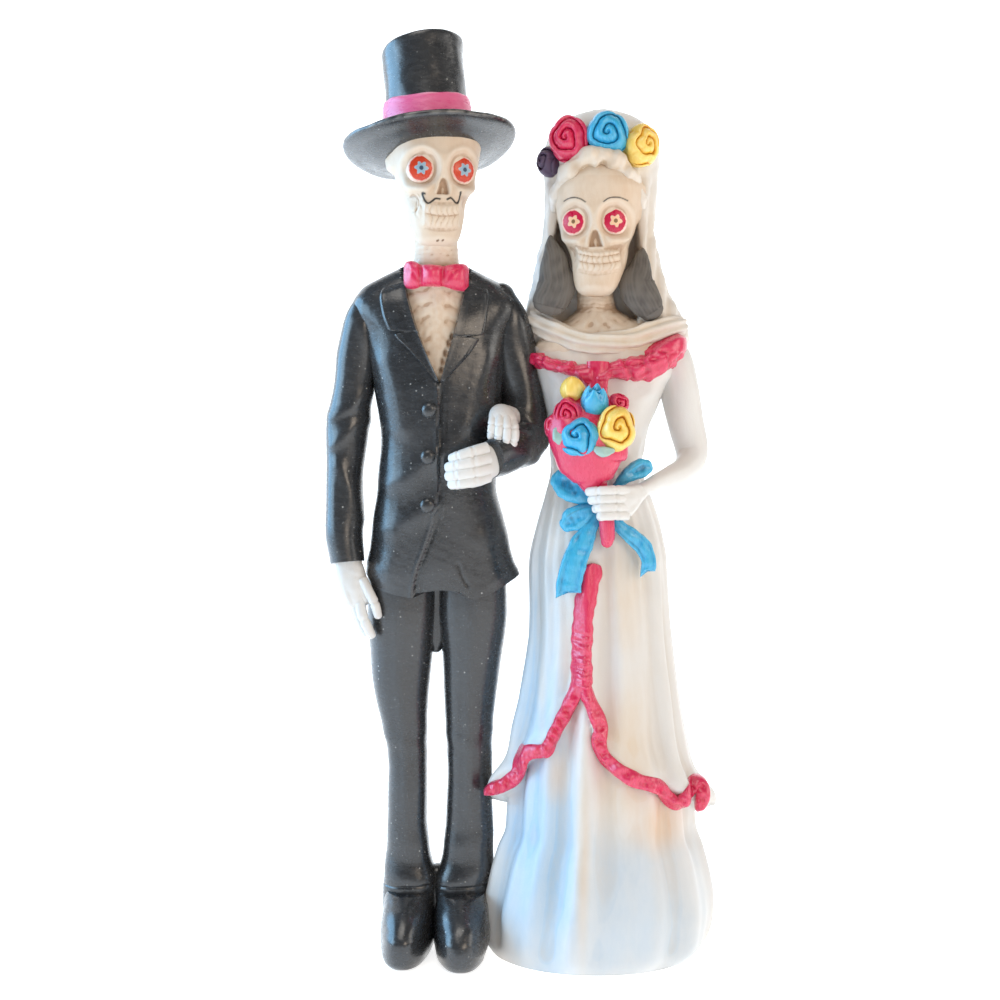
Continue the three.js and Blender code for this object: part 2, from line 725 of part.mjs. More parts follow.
// The painted band down the front, and the crinkled trims that part from it to the two side tips
function trims() {
  const half = TRIM_WIDTH / 2 / MM;
  const common = { surface: gownFront, proud: TRIM_PROUD / MM, ruffle: (t) => 0.35 * Math.sin(46 * t) };
  const band = strip({
    ...common,
    line: [
      [SPLIT.x - 0.4, SPLIT.z - 2],
      [15.9, 86],
      [16.4, 101.5],
    ],
    half: () => 1.1 * half,
    steps: 7,
  });
  const left = strip({
    ...common,
    line: [
      [SPLIT.x, SPLIT.z],
      [10.4, 61.6],
      [6.8, 56.2],
      [2.6, 52.2],
      [-0.6, 48.0],
      [-2.4, 42.4],
      [-7.6, 38.2],
    ],
    half: (t) => half * lerp(0.75, 1.1, t),
    steps: 10,
  });
  const right = strip({
    ...common,
    line: [
      [SPLIT.x - 0.4, SPLIT.z],
      [17.8, 61.6],
      [19.6, 53.6],
      [25.4, 46.6],
      [31.6, 45.0],
      [38.0, 39.6],
      [44.6, 39.6],
    ],
    half: (t) => half * lerp(0.75, 1.2, t),
    steps: 10,
  });
  return [band, left, right];
}

// Bride's bodice, shoulders and neck
const BODICE = [
  [116.0, 18.7, 0.0, 11.8, 9.8, 9.2, 2.1],
  [120.5, 18.5, 0.0, 11.3, 9.4, 8.6, 2.1],
  [128.0, 19.0, 0.0, 12.0, 10.0, 8.6, 2.1],
  [134.0, 19.6, 0.0, 13.4, 10.8, 8.8, 2.1],
  [141.0, 20.4, 0.2, 15.6, 10.6, 9.4, 2.2],
  [147.0, 21.0, 0.6, 18.0, 9.6, 9.6, 2.3],
  [151.5, 21.0, 1.0, 17.6, 8.4, 9.2, 2.3],
  [155.0, 20.6, 1.4, 14.2, 7.4, 8.4, 2.2],
  [158.4, 19.6, 1.2, 8.0, 6.2, 6.8, 2.1],
  [161.0, 18.8, 0.6, 4.6, 5.0, 5.0, 2.0],
  [170.0, 18.4, -0.6, 3.9, 4.4, 4.6, 2.0],
];

function bodice() {
  return loft({
    rows: BODICE,
    heights: [117, 130, 140, 148, 152.6, 156, 160.4, 166],
    sides: 12,
    relief: (angle, z) => 0.3 * smoothstep(z, 159, 162) * Math.cos(8 * angle),
  });
}

const RUFFLE = [
  [142.4, 20.6, 0.2, 16.6, 10.6, 9.4, 2.2],
  [143.4, 20.8, 0.2, 18.6, 12.2, 10.8, 2.3],
  [146.0, 21.2, 0.4, 20.0, 12.4, 11.4, 2.4],
  [148.6, 21.4, 0.6, 19.8, 11.6, 11.0, 2.4],
  [150.0, 21.4, 0.8, 18.4, 10.0, 9.8, 2.3],
];

function ruffle() {
  return loft({
    rows: RUFFLE,
    heights: [142.4, 143.8, 148, 150],
    sides: 28,
    relief: (angle, z) =>
      (RUFFLE_CRINKLE / MM) * (0.6 * Math.cos(14 * angle) + 0.4 * Math.cos(9 * angle + z)),
    shape: ([x, y, z]) => {
      const middle = bump((x - 20) / 13, 0) * (y < 0 ? 1 : 0.4);
      return [x, y, z - 1.6 * middle + 0.11 * (x - 20) + 0.5 * Math.cos(0.9 * x)];
    },
  });
}

function brideArms() {
  const holding = limb({
    points: [
      [35.4, 0.8, 150.6, 4.6, 4.8],
      [39.0, 0.8, 143.0, 4.8, 5.0],
      [41.0, 0.8, 133.0, 4.5, 4.7],
      [42.8, 0.0, 124.6, 3.9, 4.2],
      [40.4, -3.6, 120.2, 3.5, 3.8],
      [34.0, -9.4, 117.6, 3.2, 3.4],
      [27.6, -14.6, 115.4, 2.7, 3.0],
    ],
    sides: 8,
    steps: 8,
    across: [0.86, 0.5, 0],
  });
  const linked = limb({
    points: [
      [7.0, 1.2, 151.0, 4.4, 4.6],
      [4.6, 3.4, 143.0, 4.4, 4.6],
      [3.4, 4.8, 134.6, 4.2, 4.2],
      [0.4, 0.4, 131.6, 3.6, 3.6],
      [-3.0, -7.6, 133.0, 3.0, 3.0],
    ],
    sides: 7,
    steps: 6,
    across: [0.86, -0.5, 0],
  });
  return [holding, linked];
}

function brideHands() {
  const r = BRIDE_FINGER_RADIUS / MM;
  const linked = hand({
    points: [
      [-2.8, -7.6, 134.0, 2.6, 2.2],
      [-3.4, -11.6, 134.6, 3.6, 1.8],
      [-3.8, -14.8, 133.0, 3.9, 1.15 * r],
      [-3.6, -16.2, 129.4, 3.7, r],
      [-3.2, -15.0, 126.4, 3.3, 0.8 * r],
    ],
    across: [0.97, 0, -0.1],
  });
  const holding = hand({
    points: [
      [28.4, -14.2, 116.0, 2.8, 2.4],
      [25.6, -16.6, 115.2, 4.2, 2.0],
      [22.8, -19.2, 114.6, 4.7, 1.15 * r],
      [19.0, -20.6, 113.8, 4.4, r],
      [15.8, -18.6, 113.0, 3.8, 0.8 * r],
    ],
    across: [0.1, 0, -1],
  });
  return [...linked, ...holding];
}

// Veil: a hood behind the face that falls over the shoulders and down the back
const VEIL = [
  [124.0, 19.6, 9.0, 8.0, 1.5, 1.4, 2.4],
  [128.0, 19.8, 8.6, 10.8, 2.6, 2.6, 2.6],
  [138.0, 20.2, 8.0, 14.6, 4.0, 4.0, 2.8],
  [148.0, 21.2, 6.4, 19.6, 6.0, 6.4, 2.8],
  [154.5, 21.3, 5.2, 21.0, 8.6, 8.6, 2.6],
  [158.2, 21.0, 4.8, 20.0, 8.8, 9.6, 2.5],
  [165.7, 19.8, 4.6, 17.0, 8.4, 10.4, 2.4],
  [173.3, 19.5, 4.6, 15.2, 8.2, 11.0, 2.4],
  [181.0, 19.6, 4.6, 13.6, 8.4, 11.6, 2.3],
  [190.0, 20.1, 4.4, 13.8, 8.6, 12.0, 2.2],
  [199.0, 20.2, 4.2, 14.2, 9.6, 11.8, 2.2],
  [205.0, 20.3, 4.4, 12.4, 9.4, 10.4, 2.1],
  [208.6, 20.5, 4.8, 7.8, 6.4, 7.0, 2.0],
  [210.4, 20.6, 5.2, 2.4, 2.2, 2.4, 2.0],
];

function veil() {
  const hollow = (angle, z) => {
    const ahead = Math.max(0, -Math.sin(angle));
    const face = smoothstep(z, 156, 166) * (1 - smoothstep(z, 186, 194));
    return -6.5 * face * bump(Math.cos(angle) / 0.62, 0) * ahead;
  };
  const folds = (angle, z) =>
    (VEIL_FOLD_DEPTH / MM) * Math.max(0, Math.sin(angle) + 0.35) * Math.cos(9 * angle + 0.03 * z);
  return loft({
    rows: VEIL,
    heights: [124, 130, 143, 152, 158.2, 165, 174, 183, 191, 199, 206, 210.4],
    sides: 17,
    relief: (angle, z) => hollow(angle, z) + folds(angle, z),
  });
}

// The veil's loose ends lie in soft rolls over the shoulders and below the neck.
function drape() {
  return [
    limb({
      points: [
        [1.8, -1.0, 157.4, 1.4, 2.6],
        [7.0, -5.2, 155.0, 1.5, 2.2],
        [12.6, -8.6, 151.8, 1.3, 1.8],
        [18.0, -9.8, 150.4, 1.2, 1.6],
        [27.0, -9.6, 150.6, 1.3, 1.8],
        [34.0, -6.6, 153.6, 1.5, 2.2],
        [39.6, -1.6, 156.6, 1.4, 2.6],
      ],
      sides: 5,
      steps: 7,
      across: [0, 0, 1],
    }),
  ];
}

// Locks of dark hair between the face and the veil, spreading as they fall
function hair() {
  const lock = (points) =>
    limb({
      points,
      sides: 7,
      steps: 4,
      wave: (t, angle) => 1 + 0.07 * Math.cos(3 * angle + 5 * t),
    });
  return [
    lock([
      [8.6, -1.6, 178.0, 1.4, 2.2],
      [8.6, -3.0, 172.0, 3.2, 2.6],
      [8.4, -3.8, 166.0, 4.4, 2.6],
      [6.8, -3.8, 161.6, 3.9, 2.2],
    ]),
    lock([
      [29.2, -1.6, 175.0, 1.4, 2.2],
      [28.4, -3.0, 170.0, 3.4, 2.6],
      [29.0, -3.8, 165.0, 4.6, 2.6],
      [31.4, -3.6, 160.8, 4.0, 2.2],
    ]),
  ];
}

// A blossom: a ball with four petals round a raised middle, facing forward
function blossom({ x, y, z, radius, deep, tall = 1, lean = 0 }) {
  const sides = 8;
  const profile = [
    [0.9, -0.6],
    [1.0, 0.2],
    [0.58, 0.42],
    [0.4, 0.95],
  ];
  const rings = profile.map(([share, height], level) =>
    Array.from({ length: sides }, (_, j) => {
      const angle = (TURN * j) / sides + 0.1 * level;
      const lobe = 1 + (j % 2 === 0 ? 0.05 : -0.05);
      const reach = radius * share * lobe;
      return [reach * Math.cos(angle), reach * Math.sin(angle) * tall, radius * deep * height];
    }),
  );
  return place(rotate(skin(rings), 90, 0, lean), x, y, z);
}

// Each rose is pressed against the front of the veil, by a share of its own radius.
function wreath() {
  const front = frontOf(VEIL);
  const pressed = ({ x, z, radius, lean }) =>
    blossom({ x, y: front(x, z) - (0.35 * radius) / MM, z, radius, deep: 1, lean });
  return [
    pressed({ x: 7.6, z: 197.0, radius: 0.78 * ROSE_RADIUS, lean: -60 }),
    pressed({ x: 11.2, z: 200.4, radius: ROSE_RADIUS, lean: -24 }),
    pressed({ x: 20.4, z: 201.4, radius: ROSE_RADIUS, lean: 0 }),
    pressed({ x: 29.6, z: 199.6, radius: 1.02 * ROSE_RADIUS, lean: 36 }),
  ];
}

// Bouquet: a gathered cone round the stems, its flowers, and the handle below the hand
function bouquet() {
  const cone = limb({
    points: [
      [20.4, -17.0, 104.4, 1.7, 1.7],
      [20.2, -17.2, 113.0, 2.0, 2.0],
      [18.4, -17.4, 118.0, 4.4, 3.4],
      [17.0, -17.4, 122.6, 8.2, 5.0],
      [15.8, -17.0, 128.0, 10.2, 5.6],
      [16.4, -16.0, 132.0, 6.6, 4.4],
      [16.8, -14.0, 137.0, 5.0, 3.4],
    ],
    sides: 8,
    steps: 6,
  });
  const flowers = [
    { x: 12.3, y: -14.6, z: 140.0, radius: 0.86 * BLOSSOM_RADIUS, tall: 1.15 },
    { x: 11.4, y: -17.6, z: 134.4, radius: 1.05 * BLOSSOM_RADIUS },
    { x: 17.3, y: -18.6, z: 136.2, radius: 0.9 * BLOSSOM_RADIUS, tall: 1.3 },
    { x: 22.8, y: -16.0, z: 136.6, radius: 0.95 * BLOSSOM_RADIUS },
    { x: 22.6, y: -20.6, z: 130.4, radius: 1.15 * BLOSSOM_RADIUS, tall: 1.2 },
    { x: 14.0, y: -21.6, z: 128.8, radius: 1.05 * BLOSSOM_RADIUS },
  ].map((flower) => blossom({ deep: 1, ...flower }));
  return [cone, ...flowers];
}

// Ribbon: a bow of flat loops behind the hand, with two tails down the skirt
function ribbon() {
  const wide = (0.65 * RIBBON_WIDTH) / MM;
  const thick = (0.65 * RIBBON_THICKNESS) / MM;
  const flat = (points, steps) =>
    limb({
      points: points.map(([x, y, z, share]) => [x, y, z, wide * share, thick]),
      sides: 4,
      steps,
      across: [0, 0, 1],
    });
  const leftLoop = flat(
    [
      [19.0, -12.6, 113.4, 0.5],
      [13.6, -13.2, 115.4, 0.9],
      [9.4, -12.6, 118.0, 1.3],
      [6.4, -10.8, 120.6, 0.9],
    ],
    4,
  );
  const lowerLoop = flat(
    [
      [19.0, -13.4, 112.4, 0.5],
      [14.6, -14.4, 110.6, 0.9],
      [10.8, -14.2, 108.2, 1.0],
    ],
    3,
  );
  const rightLoop = flat(
    [
      [20.0, -12.6, 114.0, 0.5],
      [25.0, -12.2, 119.0, 0.8],
      [31.0, -9.8, 121.8, 0.7],
    ],
    3,
  );
  const tail = (points) =>
    limb({
      points: points.map(([x, y, z, share]) => [x, y, z, wide * share, thick]),
      sides: 4,
      steps: 4,
    });
  return [
    leftLoop,
    lowerLoop,
    rightLoop,
    tail([
      [18.6, -13.0, 112.0, 0.7],
      [14.6, -14.2, 103.0, 0.9],
      [10.8, -14.2, 91.6, 0.95],
    ]),
    tail([
      [21.0, -13.2, 111.6, 0.7],
      [25.4, -13.2, 106.4, 0.8],
      [29.6, -12.2, 96.6, 0.75],
    ]),
  ];
}

function couple() {
  const groom = [
    ...shoes(),
    ...trousers(),
    coat(),
    chest(),
    lapel(-1),
    lapel(1),
    coatEdge(),
    ...buttons(),
    ...bowTie(),
    ...sleeves(),
    ...groomHands(),
    ...skull({ x: -21.4, y: -1.0, z: 193.2, turn: 15, scale: 1 }),
    ...hat(),
  ];
  const bride = [
    gown(),
    ...trims(),
    bodice(),
    ruffle(),
    ...brideArms(),
    ...brideHands(),
    veil(),
    ...drape(),
    ...hair(),
    ...skull({ x: 19.0, y: -1.0, z: 180.8, turn: -9, scale: 0.955 }),
    ...wreath(),
    ...bouquet(),
    ...ribbon(),
  ];
  return formOf(wasm.Manifold.union([...groom, ...bride].map(solid)));
}

// The origin is under the middle of the casting's box, on the ground
const casting = new THREE.Mesh(
  couple(),
  new THREE.MeshStandardMaterial({ color: 0xe9e4da, roughness: 0.55, metalness: 0 }),
);
casting.name = "skeleton_couple";
casting.geometry.computeBoundingBox();
const box = casting.geometry.boundingBox;
const middle = box.getCenter(new THREE.Vector3());
casting.position.set(-middle.x, -middle.y, -box.min.z);

const figure = new THREE.Group();
figure.add(casting);

export default figure;
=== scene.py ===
from math import pi, radians

import bpy
import numpy as np
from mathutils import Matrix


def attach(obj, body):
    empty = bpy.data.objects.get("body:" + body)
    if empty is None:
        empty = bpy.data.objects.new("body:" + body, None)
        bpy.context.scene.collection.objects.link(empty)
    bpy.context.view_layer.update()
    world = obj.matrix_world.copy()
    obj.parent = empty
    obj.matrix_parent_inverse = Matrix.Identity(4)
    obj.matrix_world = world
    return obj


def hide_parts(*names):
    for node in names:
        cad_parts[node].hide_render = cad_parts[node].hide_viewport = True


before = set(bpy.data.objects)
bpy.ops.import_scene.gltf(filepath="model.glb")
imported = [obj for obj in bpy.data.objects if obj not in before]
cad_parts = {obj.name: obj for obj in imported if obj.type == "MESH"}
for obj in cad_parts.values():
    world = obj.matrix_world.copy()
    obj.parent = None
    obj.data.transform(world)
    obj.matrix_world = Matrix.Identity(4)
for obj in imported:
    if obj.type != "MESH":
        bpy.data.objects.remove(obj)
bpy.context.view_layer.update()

bl_info = {
    "name": "Day of the Dead couple",
    "version": (1, 0, 0),
    "blender": (4, 5, 0),
    "location": "3D View > Sidebar > Couple",
    "description": "Builds a hand-painted resin skeleton bride and groom, arm in arm",
    "category": "Add Mesh",
}

# Shapes are worked out in millimetres, in the modelling frame: the couple faces -Y and stands on z = 0.
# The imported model's frame has its origin under the middle of the casting, which is this far away.
SHIFT = np.array([-0.3987, 0.8340, 0.0])
TURN = 2 * pi
NODE = "skeleton_couple"

# Edges sharper than this, in degrees, stay crisp
SHARP = 58

# Numbers and curves


def mm(value):
    return value * 1000


def metres(places):
    """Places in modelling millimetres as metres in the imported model's frame."""
    return ((places + SHIFT) * 0.001).tolist()


def step(low, high, value):
    """Smooth step: 0 below low, 1 above high, 3t^2 - 2t^3 between."""
    t = np.clip((value - low) / (high - low), 0, 1)
    return t * t * (3 - 2 * t)


def bump(across, up=0):
    """Rounded bump of height 1: exp(-across^2 - up^2)."""
    return np.exp(-np.square(across) - np.square(up))


def oval(value, power):
    """Superellipse share: sign(v) |v|^(2 / power)."""
    return np.sign(value) * np.abs(value) ** (2 / power)


def curve(rows, place):
    """Monotone cubic through rows of [place, values...]: Hermite pieces whose slope at a row is the harmonic
    mean of the rises beside it, and 0 where they differ in sign."""
    rows = np.asarray(rows, float)
    x, y = rows[:, 0], rows[:, 1:]
    run = np.diff(x)[:, None]
    rise = np.diff(y, axis=0) / run
    same = rise[:-1] * rise[1:] > 0
    total = np.where(same, rise[:-1] + rise[1:], 1)
    inner = np.where(same, 2 * rise[:-1] * rise[1:] / total, 0)
    slope = np.concatenate([rise[:1], inner, rise[-1:]])
    place = np.asarray(place, float)
    i = np.clip(np.searchsorted(x, place, side="right") - 1, 0, len(x) - 2)
    width = (x[i + 1] - x[i])[..., None]
    t = np.clip((place - x[i])[..., None] / width, 0, 1)
    ease = t * t * (3 - 2 * t)
    bend = t * (1 - t) * (1 - t) * slope[i] - t * t * (1 - t) * slope[i + 1]
    return y[i] * (1 - ease) + y[i + 1] * ease + width * bend


def columns(rows, place):
    """The curve's values at each place, as one array for each column."""
    return np.moveaxis(curve(rows, place), -1, 0)


def spline(points, t):
    """Catmull-Rom line through the points, t from 0 to 1 by point number."""
    p = np.asarray(points, float)
    p = np.concatenate([2 * p[:1] - p[1:2], p, 2 * p[-1:] - p[-2:-1]])
    place = np.clip(np.asarray(t, float), 0, 1) * (len(p) - 3)
    i = np.minimum(place.astype(int), len(p) - 4)
    f = (place - i)[..., None]
    a, b, c, d = p[i], p[i + 1], p[i + 2], p[i + 3]
    return 0.5 * (2 * b + (c - a) * f + (2 * a - 5 * b + 4 * c - d) * f**2 + (3 * b - a - 3 * c + d) * f**3)


def even(points, count):
    """The spline through the points at evenly spaced lengths along it."""
    fine = spline(points, np.linspace(0, 1, 400))
    length = np.concatenate([[0], np.cumsum(np.linalg.norm(np.diff(fine, axis=0), axis=1))])
    want = np.linspace(0, length[-1], count)
    return np.stack([np.interp(want, length, fine[:, k]) for k in range(fine.shape[1])], 1)


def wobble(points, size, seed, waves=10):
    """Smooth uneven field of about -1 to 1: plane cosine waves in seeded directions, about size mm long."""
    draw = np.random.default_rng(seed)
    way = draw.normal(size=(3, waves))
    way *= TURN / size * draw.uniform(0.6, 1.5, waves) / np.linalg.norm(way, axis=0)
    return np.cos(points @ way + draw.uniform(0, TURN, waves)).sum(-1) / np.sqrt(waves)


def from_line(x, z, line):
    """Distance of each place (x, z) from the polyline through line."""
    best = np.full(np.broadcast(x, z).shape, 1e9)
    for (ax, az), (bx, bz) in zip(line[:-1], line[1:]):
        run, rise = bx - ax, bz - az
        t = np.clip(((x - ax) * run + (z - az) * rise) / (run * run + rise * rise), 0, 1)
        best = np.minimum(best, np.hypot(x - ax - t * run, z - az - t * rise))
    return best


def x_at(line, z):
    """The x of a line of (x, z) points, which runs downwards, at each height."""
    return np.interp(z, [point[1] for point in line[::-1]], [point[0] for point in line[::-1]])


def circle(sides):
    """Even angles round a ring, as one row."""
    return np.linspace(0, TURN, sides, endpoint=False)[None, :]


def course(count):
    """Even shares from 0 to 1 down the rings of a grid, as one column."""
    return np.linspace(0, 1, count)[:, None]


def turned_by(points, x=0.0, y=0.0, z=0.0):
    """Points turned about X, then Y, then Z, in degrees."""
    for axis, angle in enumerate((x, y, z)):
        c, s = np.cos(radians(angle)), np.sin(radians(angle))
        a, b = [(1, 2), (2, 0), (0, 1)][axis]
        turned = points.copy()
        turned[..., a] = c * points[..., a] - s * points[..., b]
        turned[..., b] = s * points[..., a] + c * points[..., b]
        points = turned
    return points


# Surfaces on grids: rows of rings, each ring turning counter-clockwise about the way the rows advance


def normals(grid):
    """Outward directions of a closed grid: (next - last round the ring) x (next row - last row)."""
    around = np.roll(grid, -1, 1) - np.roll(grid, 1, 1)
    made = np.cross(around, np.gradient(grid, axis=0))
    return made / np.maximum(np.linalg.norm(made, axis=2, keepdims=True), 1e-9)


def raised(grid, amount):
    """Each point moved outwards along its normal by its amount in mm."""
    return grid + normals(grid) * amount[..., None]


def hollowness(grid, reach):
    """How far, in mm, a point lies below the mean of its neighbours some grid steps away."""
    rows = np.arange(len(grid))
    up, down = grid[np.minimum(rows + reach, len(grid) - 1)], grid[np.maximum(rows - reach, 0)]
    mean = (up + down + np.roll(grid, reach, 1) + np.roll(grid, -reach, 1)) / 4
    return ((mean - grid) * normals(grid)).sum(2)


def angles(sides, front):
    """Angles round a ring, starting at the back, closer together in front the larger front is."""
    s = np.linspace(-1, 1, sides, endpoint=False)
    return -pi / 2 + pi * ((1 - front) * s + front * s**3)


def loft(rows, heights, around, relief=None):
    """Upright form: at height z an oval of the curve's centre, half width, front and back depth and
    roundness, x = cx + half * oval(cos), y = cy + depth * oval(sin), with relief(angle, z) outwards."""
    z = np.asarray(heights, float)[:, None]
    cx, cy, half, front, back, power = columns(rows, z)
    c, s = np.cos(around)[None, :], np.sin(around)[None, :]
    x = cx + half * oval(c, power)
    y = cy + np.where(s > 0, back, front) * oval(s, power)
    grid = np.stack([x, y, z + 0 * x], -1)
    return grid if relief is None else raised(grid, relief(around[None, :], z))


def front_of(rows, x, z):
    """The y of such a form's front at (x, z): cy - front * (1 - |x|^power)^(1 / power)."""
    cx, cy, half, front, _, power = columns(rows, z)
    across = np.clip(np.abs((x - cx) / half), 0, 0.985)
    return cy - front * (1 - across**power) ** (1 / power)


def front_map(grid, low, high):
    """The y of a grid's own front at any (x, z): its front half, looked up along each row and between
    rows."""
    count = grid.shape[1]
    half = grid[:, count // 4: count - count // 4]
    lattice = np.linspace(low, high, 400)
    rows = [np.interp(lattice, np.maximum.accumulate(row[:, 0]), row[:, 1]) for row in half]
    table, level = np.array(rows), np.maximum.accumulate(half[:, half.shape[1] // 2, 2])

    def front(x, z):
        x, z = np.broadcast_arrays(np.asarray(x, float), np.asarray(z, float))
        along = np.clip((x - low) / (high - low) * (len(lattice) - 1), 0, len(lattice) - 1.001)
        i = np.clip(np.searchsorted(level, z) - 1, 0, len(level) - 2)
        f = np.clip((z - level[i]) / np.maximum(level[i + 1] - level[i], 1e-6), 0, 1)
        k = along.astype(int)
        g = along - k
        near = table[i, k] * (1 - g) + table[i, k + 1] * g
        far = table[i + 1, k] * (1 - g) + table[i + 1, k + 1] * g
        return near * (1 - f) + far * f

    return front


def with_ends(heights, share=0.0):
    """Heights from the lowest to the highest row, each end doubled so that its edge stays crisp."""
    low, high = heights[0], heights[-1]
    return np.concatenate([[low - share], heights, [high + share]])


def limb(points, sides, steps, across=(1, 0, 0), power=2.0, start="flat", end="round"):
    """Tube along the spline through points of [x, y, z, half width, half thickness]: an oval ring with its
    width along across, and at a round end rings shrinking as a quarter circle."""
    points = np.asarray([p if len(p) == 5 else (*p, p[3]) for p in points], float)
    last = len(points) - 1
    t = np.linspace(0, 1, steps)
    rows = [(i / last, p[3], p[4]) for i, p in enumerate(points)]
    cap = np.linspace(0, pi / 2, 9)[1:]
    t_all, slip, grow = [t], [0 * t], [1 + 0 * t]
    if start == "round":
        t_all.insert(0, 0 * cap)
        slip.insert(0, -np.sin(cap)[::-1])
        grow.insert(0, np.maximum(np.cos(cap), 0.03)[::-1])
    if end == "round":
        t_all.append(1 + 0 * cap)
        slip.append(np.sin(cap))
        grow.append(np.maximum(np.cos(cap), 0.03))
    t, slip, grow = np.concatenate(t_all), np.concatenate(slip), np.concatenate(grow)
    size = curve(rows, t)
    way = spline(points[:, :3], np.minimum(t + 0.004, 1)) - spline(points[:, :3], np.maximum(t - 0.004, 0))
    way /= np.linalg.norm(way, axis=1, keepdims=True)
    side = np.asarray(across, float)
    wide = side - way * (way @ side)[:, None]
    wide /= np.linalg.norm(wide, axis=1, keepdims=True)
    thick = np.cross(way, wide)
    centre = spline(points[:, :3], t) + way * (slip * size.min(1))[:, None]
    a = circle(sides)[0]
    w = (size[:, 0] * grow)[:, None] * oval(np.cos(a), power)
    h = (size[:, 1] * grow)[:, None] * oval(np.sin(a), power)
    return centre[:, None] + wide[:, None] * w[..., None] + thick[:, None] * h[..., None]


def turned(profile, sides, rows):
    """Form of revolution about Z: the monotone curve through [radius, height] pairs by length along them."""
    pairs = np.asarray(profile, float)
    length = np.concatenate([[0], np.cumsum(np.linalg.norm(np.diff(pairs, axis=0), axis=1))])
    line = curve(np.column_stack([length, pairs]), np.linspace(0, length[-1], rows))
    a = circle(sides)
    radius = np.maximum(line[:, :1], 0.004)
    return np.stack([radius * np.cos(a), radius * np.sin(a), line[:, 1:] + 0 * a], -1)


def laid(x, z, high, surface, sunk):
    """Rings laid on a front: raised by high above surface(x, z), and closed by two places sunk under it."""
    top = np.stack([x, surface(x, z) - high, z], -1)
    low = top[:, [-1, 0]].copy()
    low[..., 1] = surface(low[..., 0], low[..., 2]) + sunk
    return np.concatenate([top, low], 1)


def strip(line, steps, half, height, surface, places=17):
    """Band laid on a front: for each step along the (x, z) line a ring of places across it, raised by
    height(t, s) above surface(x, z), s from -1 to 1."""
    path = even(line, steps)
    way = np.gradient(path, axis=0)
    way /= np.linalg.norm(way, axis=1, keepdims=True)
    t = course(steps)
    s = np.sin(np.linspace(-1, 1, places) * pi / 2)[None, :]
    reach = s * half(t, s)
    x = path[:, :1] + way[:, 1:] * reach
    z = path[:, 1:] - way[:, :1] * reach
    return laid(x, z, height(t, s), surface, 1.6)


# Pieces


def make_piece(name, grids, finish, paint=None, rim=None, reach=(2, 5)):
    """One named piece of closed grids: quads between rings, a fan at each end, and for the finish a
    measure of hollowness, a painted colour and a rim mask at every point."""
    places, faces, hollow, colours, rims = [], [], [], [], []
    base = 0
    for k, grid in enumerate(grids):
        rows, sides = grid.shape[:2]
        places += [grid.reshape(-1, 3), grid[[0, -1]].mean(1)]
        row, side = np.meshgrid(np.arange(rows - 1), np.arange(sides), indexing="ij")
        after = (side + 1) % sides
        corners = [row * sides + side, row * sides + after, (row + 1) * sides + after,
                   (row + 1) * sides + side]
        faces += (base + np.stack(corners, -1).reshape(-1, 4)).tolist()
        ring = np.arange(sides)
        top = base + (rows - 1) * sides
        first, last = base + rows * sides + 0 * ring, base + rows * sides + 1 + 0 * ring
        faces += np.stack([first, base + (ring + 1) % sides, base + ring], 1).tolist()
        faces += np.stack([last, top + ring, top + (ring + 1) % sides], 1).tolist()
        depth = sum(hollowness(grid, step_count) for step_count in reach)
        hollow += [depth.ravel(), np.zeros(2)]
        tint = np.zeros((rows, sides, 4)) if paint is None else paint[k]
        colours += [tint.reshape(-1, 4), np.zeros((2, 4))]
        edge = np.zeros((rows, sides)) if rim is None else rim[k]
        rims += [np.broadcast_to(edge, (rows, sides)).ravel(), np.zeros(2)]
        base += rows * sides + 2
    mesh = bpy.data.meshes.new(name)
    mesh.from_pydata(metres(np.concatenate(places)), [], faces)
    for label, kind, data, field in (
        ("hollow", "FLOAT", hollow, "value"),
        ("rim", "FLOAT", rims, "value"),
        ("paint", "FLOAT_COLOR", colours, "color"),
    ):
        values = np.concatenate(data).astype(np.float32).ravel()
        mesh.attributes.new(label, kind, "POINT").data.foreach_set(field, values)
    mesh.polygons.foreach_set("use_smooth", [True] * len(mesh.polygons))
    mesh.set_sharp_from_angle(angle=radians(SHARP))
    mesh.materials.append(finish)
    piece = bpy.data.objects.new(name, mesh)
    bpy.context.scene.collection.objects.link(piece)
    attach(piece, "root")
    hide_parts(NODE)
    return piece


# Finishes


def node(tree, kind, inputs=None, **settings):
    """A shader node with its settings, its inputs set to values or linked to sockets."""
    made = tree.nodes.new(kind)
    for key, value in settings.items():
        setattr(made, key, value)
    for key, value in (inputs or {}).items():
        if isinstance(value, bpy.types.NodeSocket):
            tree.links.new(value, made.inputs[key])
        else:
            made.inputs[key].default_value = value
    return made


def rgba(colour):
    """A colour with its alpha, or a socket as it is."""
    return colour if isinstance(colour, bpy.types.NodeSocket) else (*colour[:3], 1.0)


def blend(tree, factor, first, second):
    """Mixes two colours, each a value or a socket."""
    inputs = {0: factor, 6: rgba(first), 7: rgba(second)}
    return node(tree, "ShaderNodeMix", inputs, data_type="RGBA", clamp_factor=True).outputs[2]


def worked(tree, operation, first, second, clamp=False):
    """The result of one operation on two numbers."""
    inputs = {0: first, 1: second}
    return node(tree, "ShaderNodeMath", inputs, operation=operation, use_clamp=clamp).outputs[0]


def times(tree, first, second):
    return worked(tree, "MULTIPLY", first, second, True)


def between(tree, value, low, high, start=0.0, end=1.0):
    """Smooth ramp of a value from low to high."""
    inputs = {"Value": value, "From Min": low, "From Max": high, "To Min": start, "To Max": end}
    return node(tree, "ShaderNodeMapRange", inputs, interpolation_type="SMOOTHSTEP").outputs["Result"]


def noise(tree, place, scale, detail, rough=0.55):
    inputs = {"Vector": place, "Scale": scale, "Detail": detail, "Roughness": rough}
    return node(tree, "ShaderNodeTexNoise", inputs).outputs["Fac"]


def attribute(tree, name):
    return node(tree, "ShaderNodeAttribute", attribute_name=name)


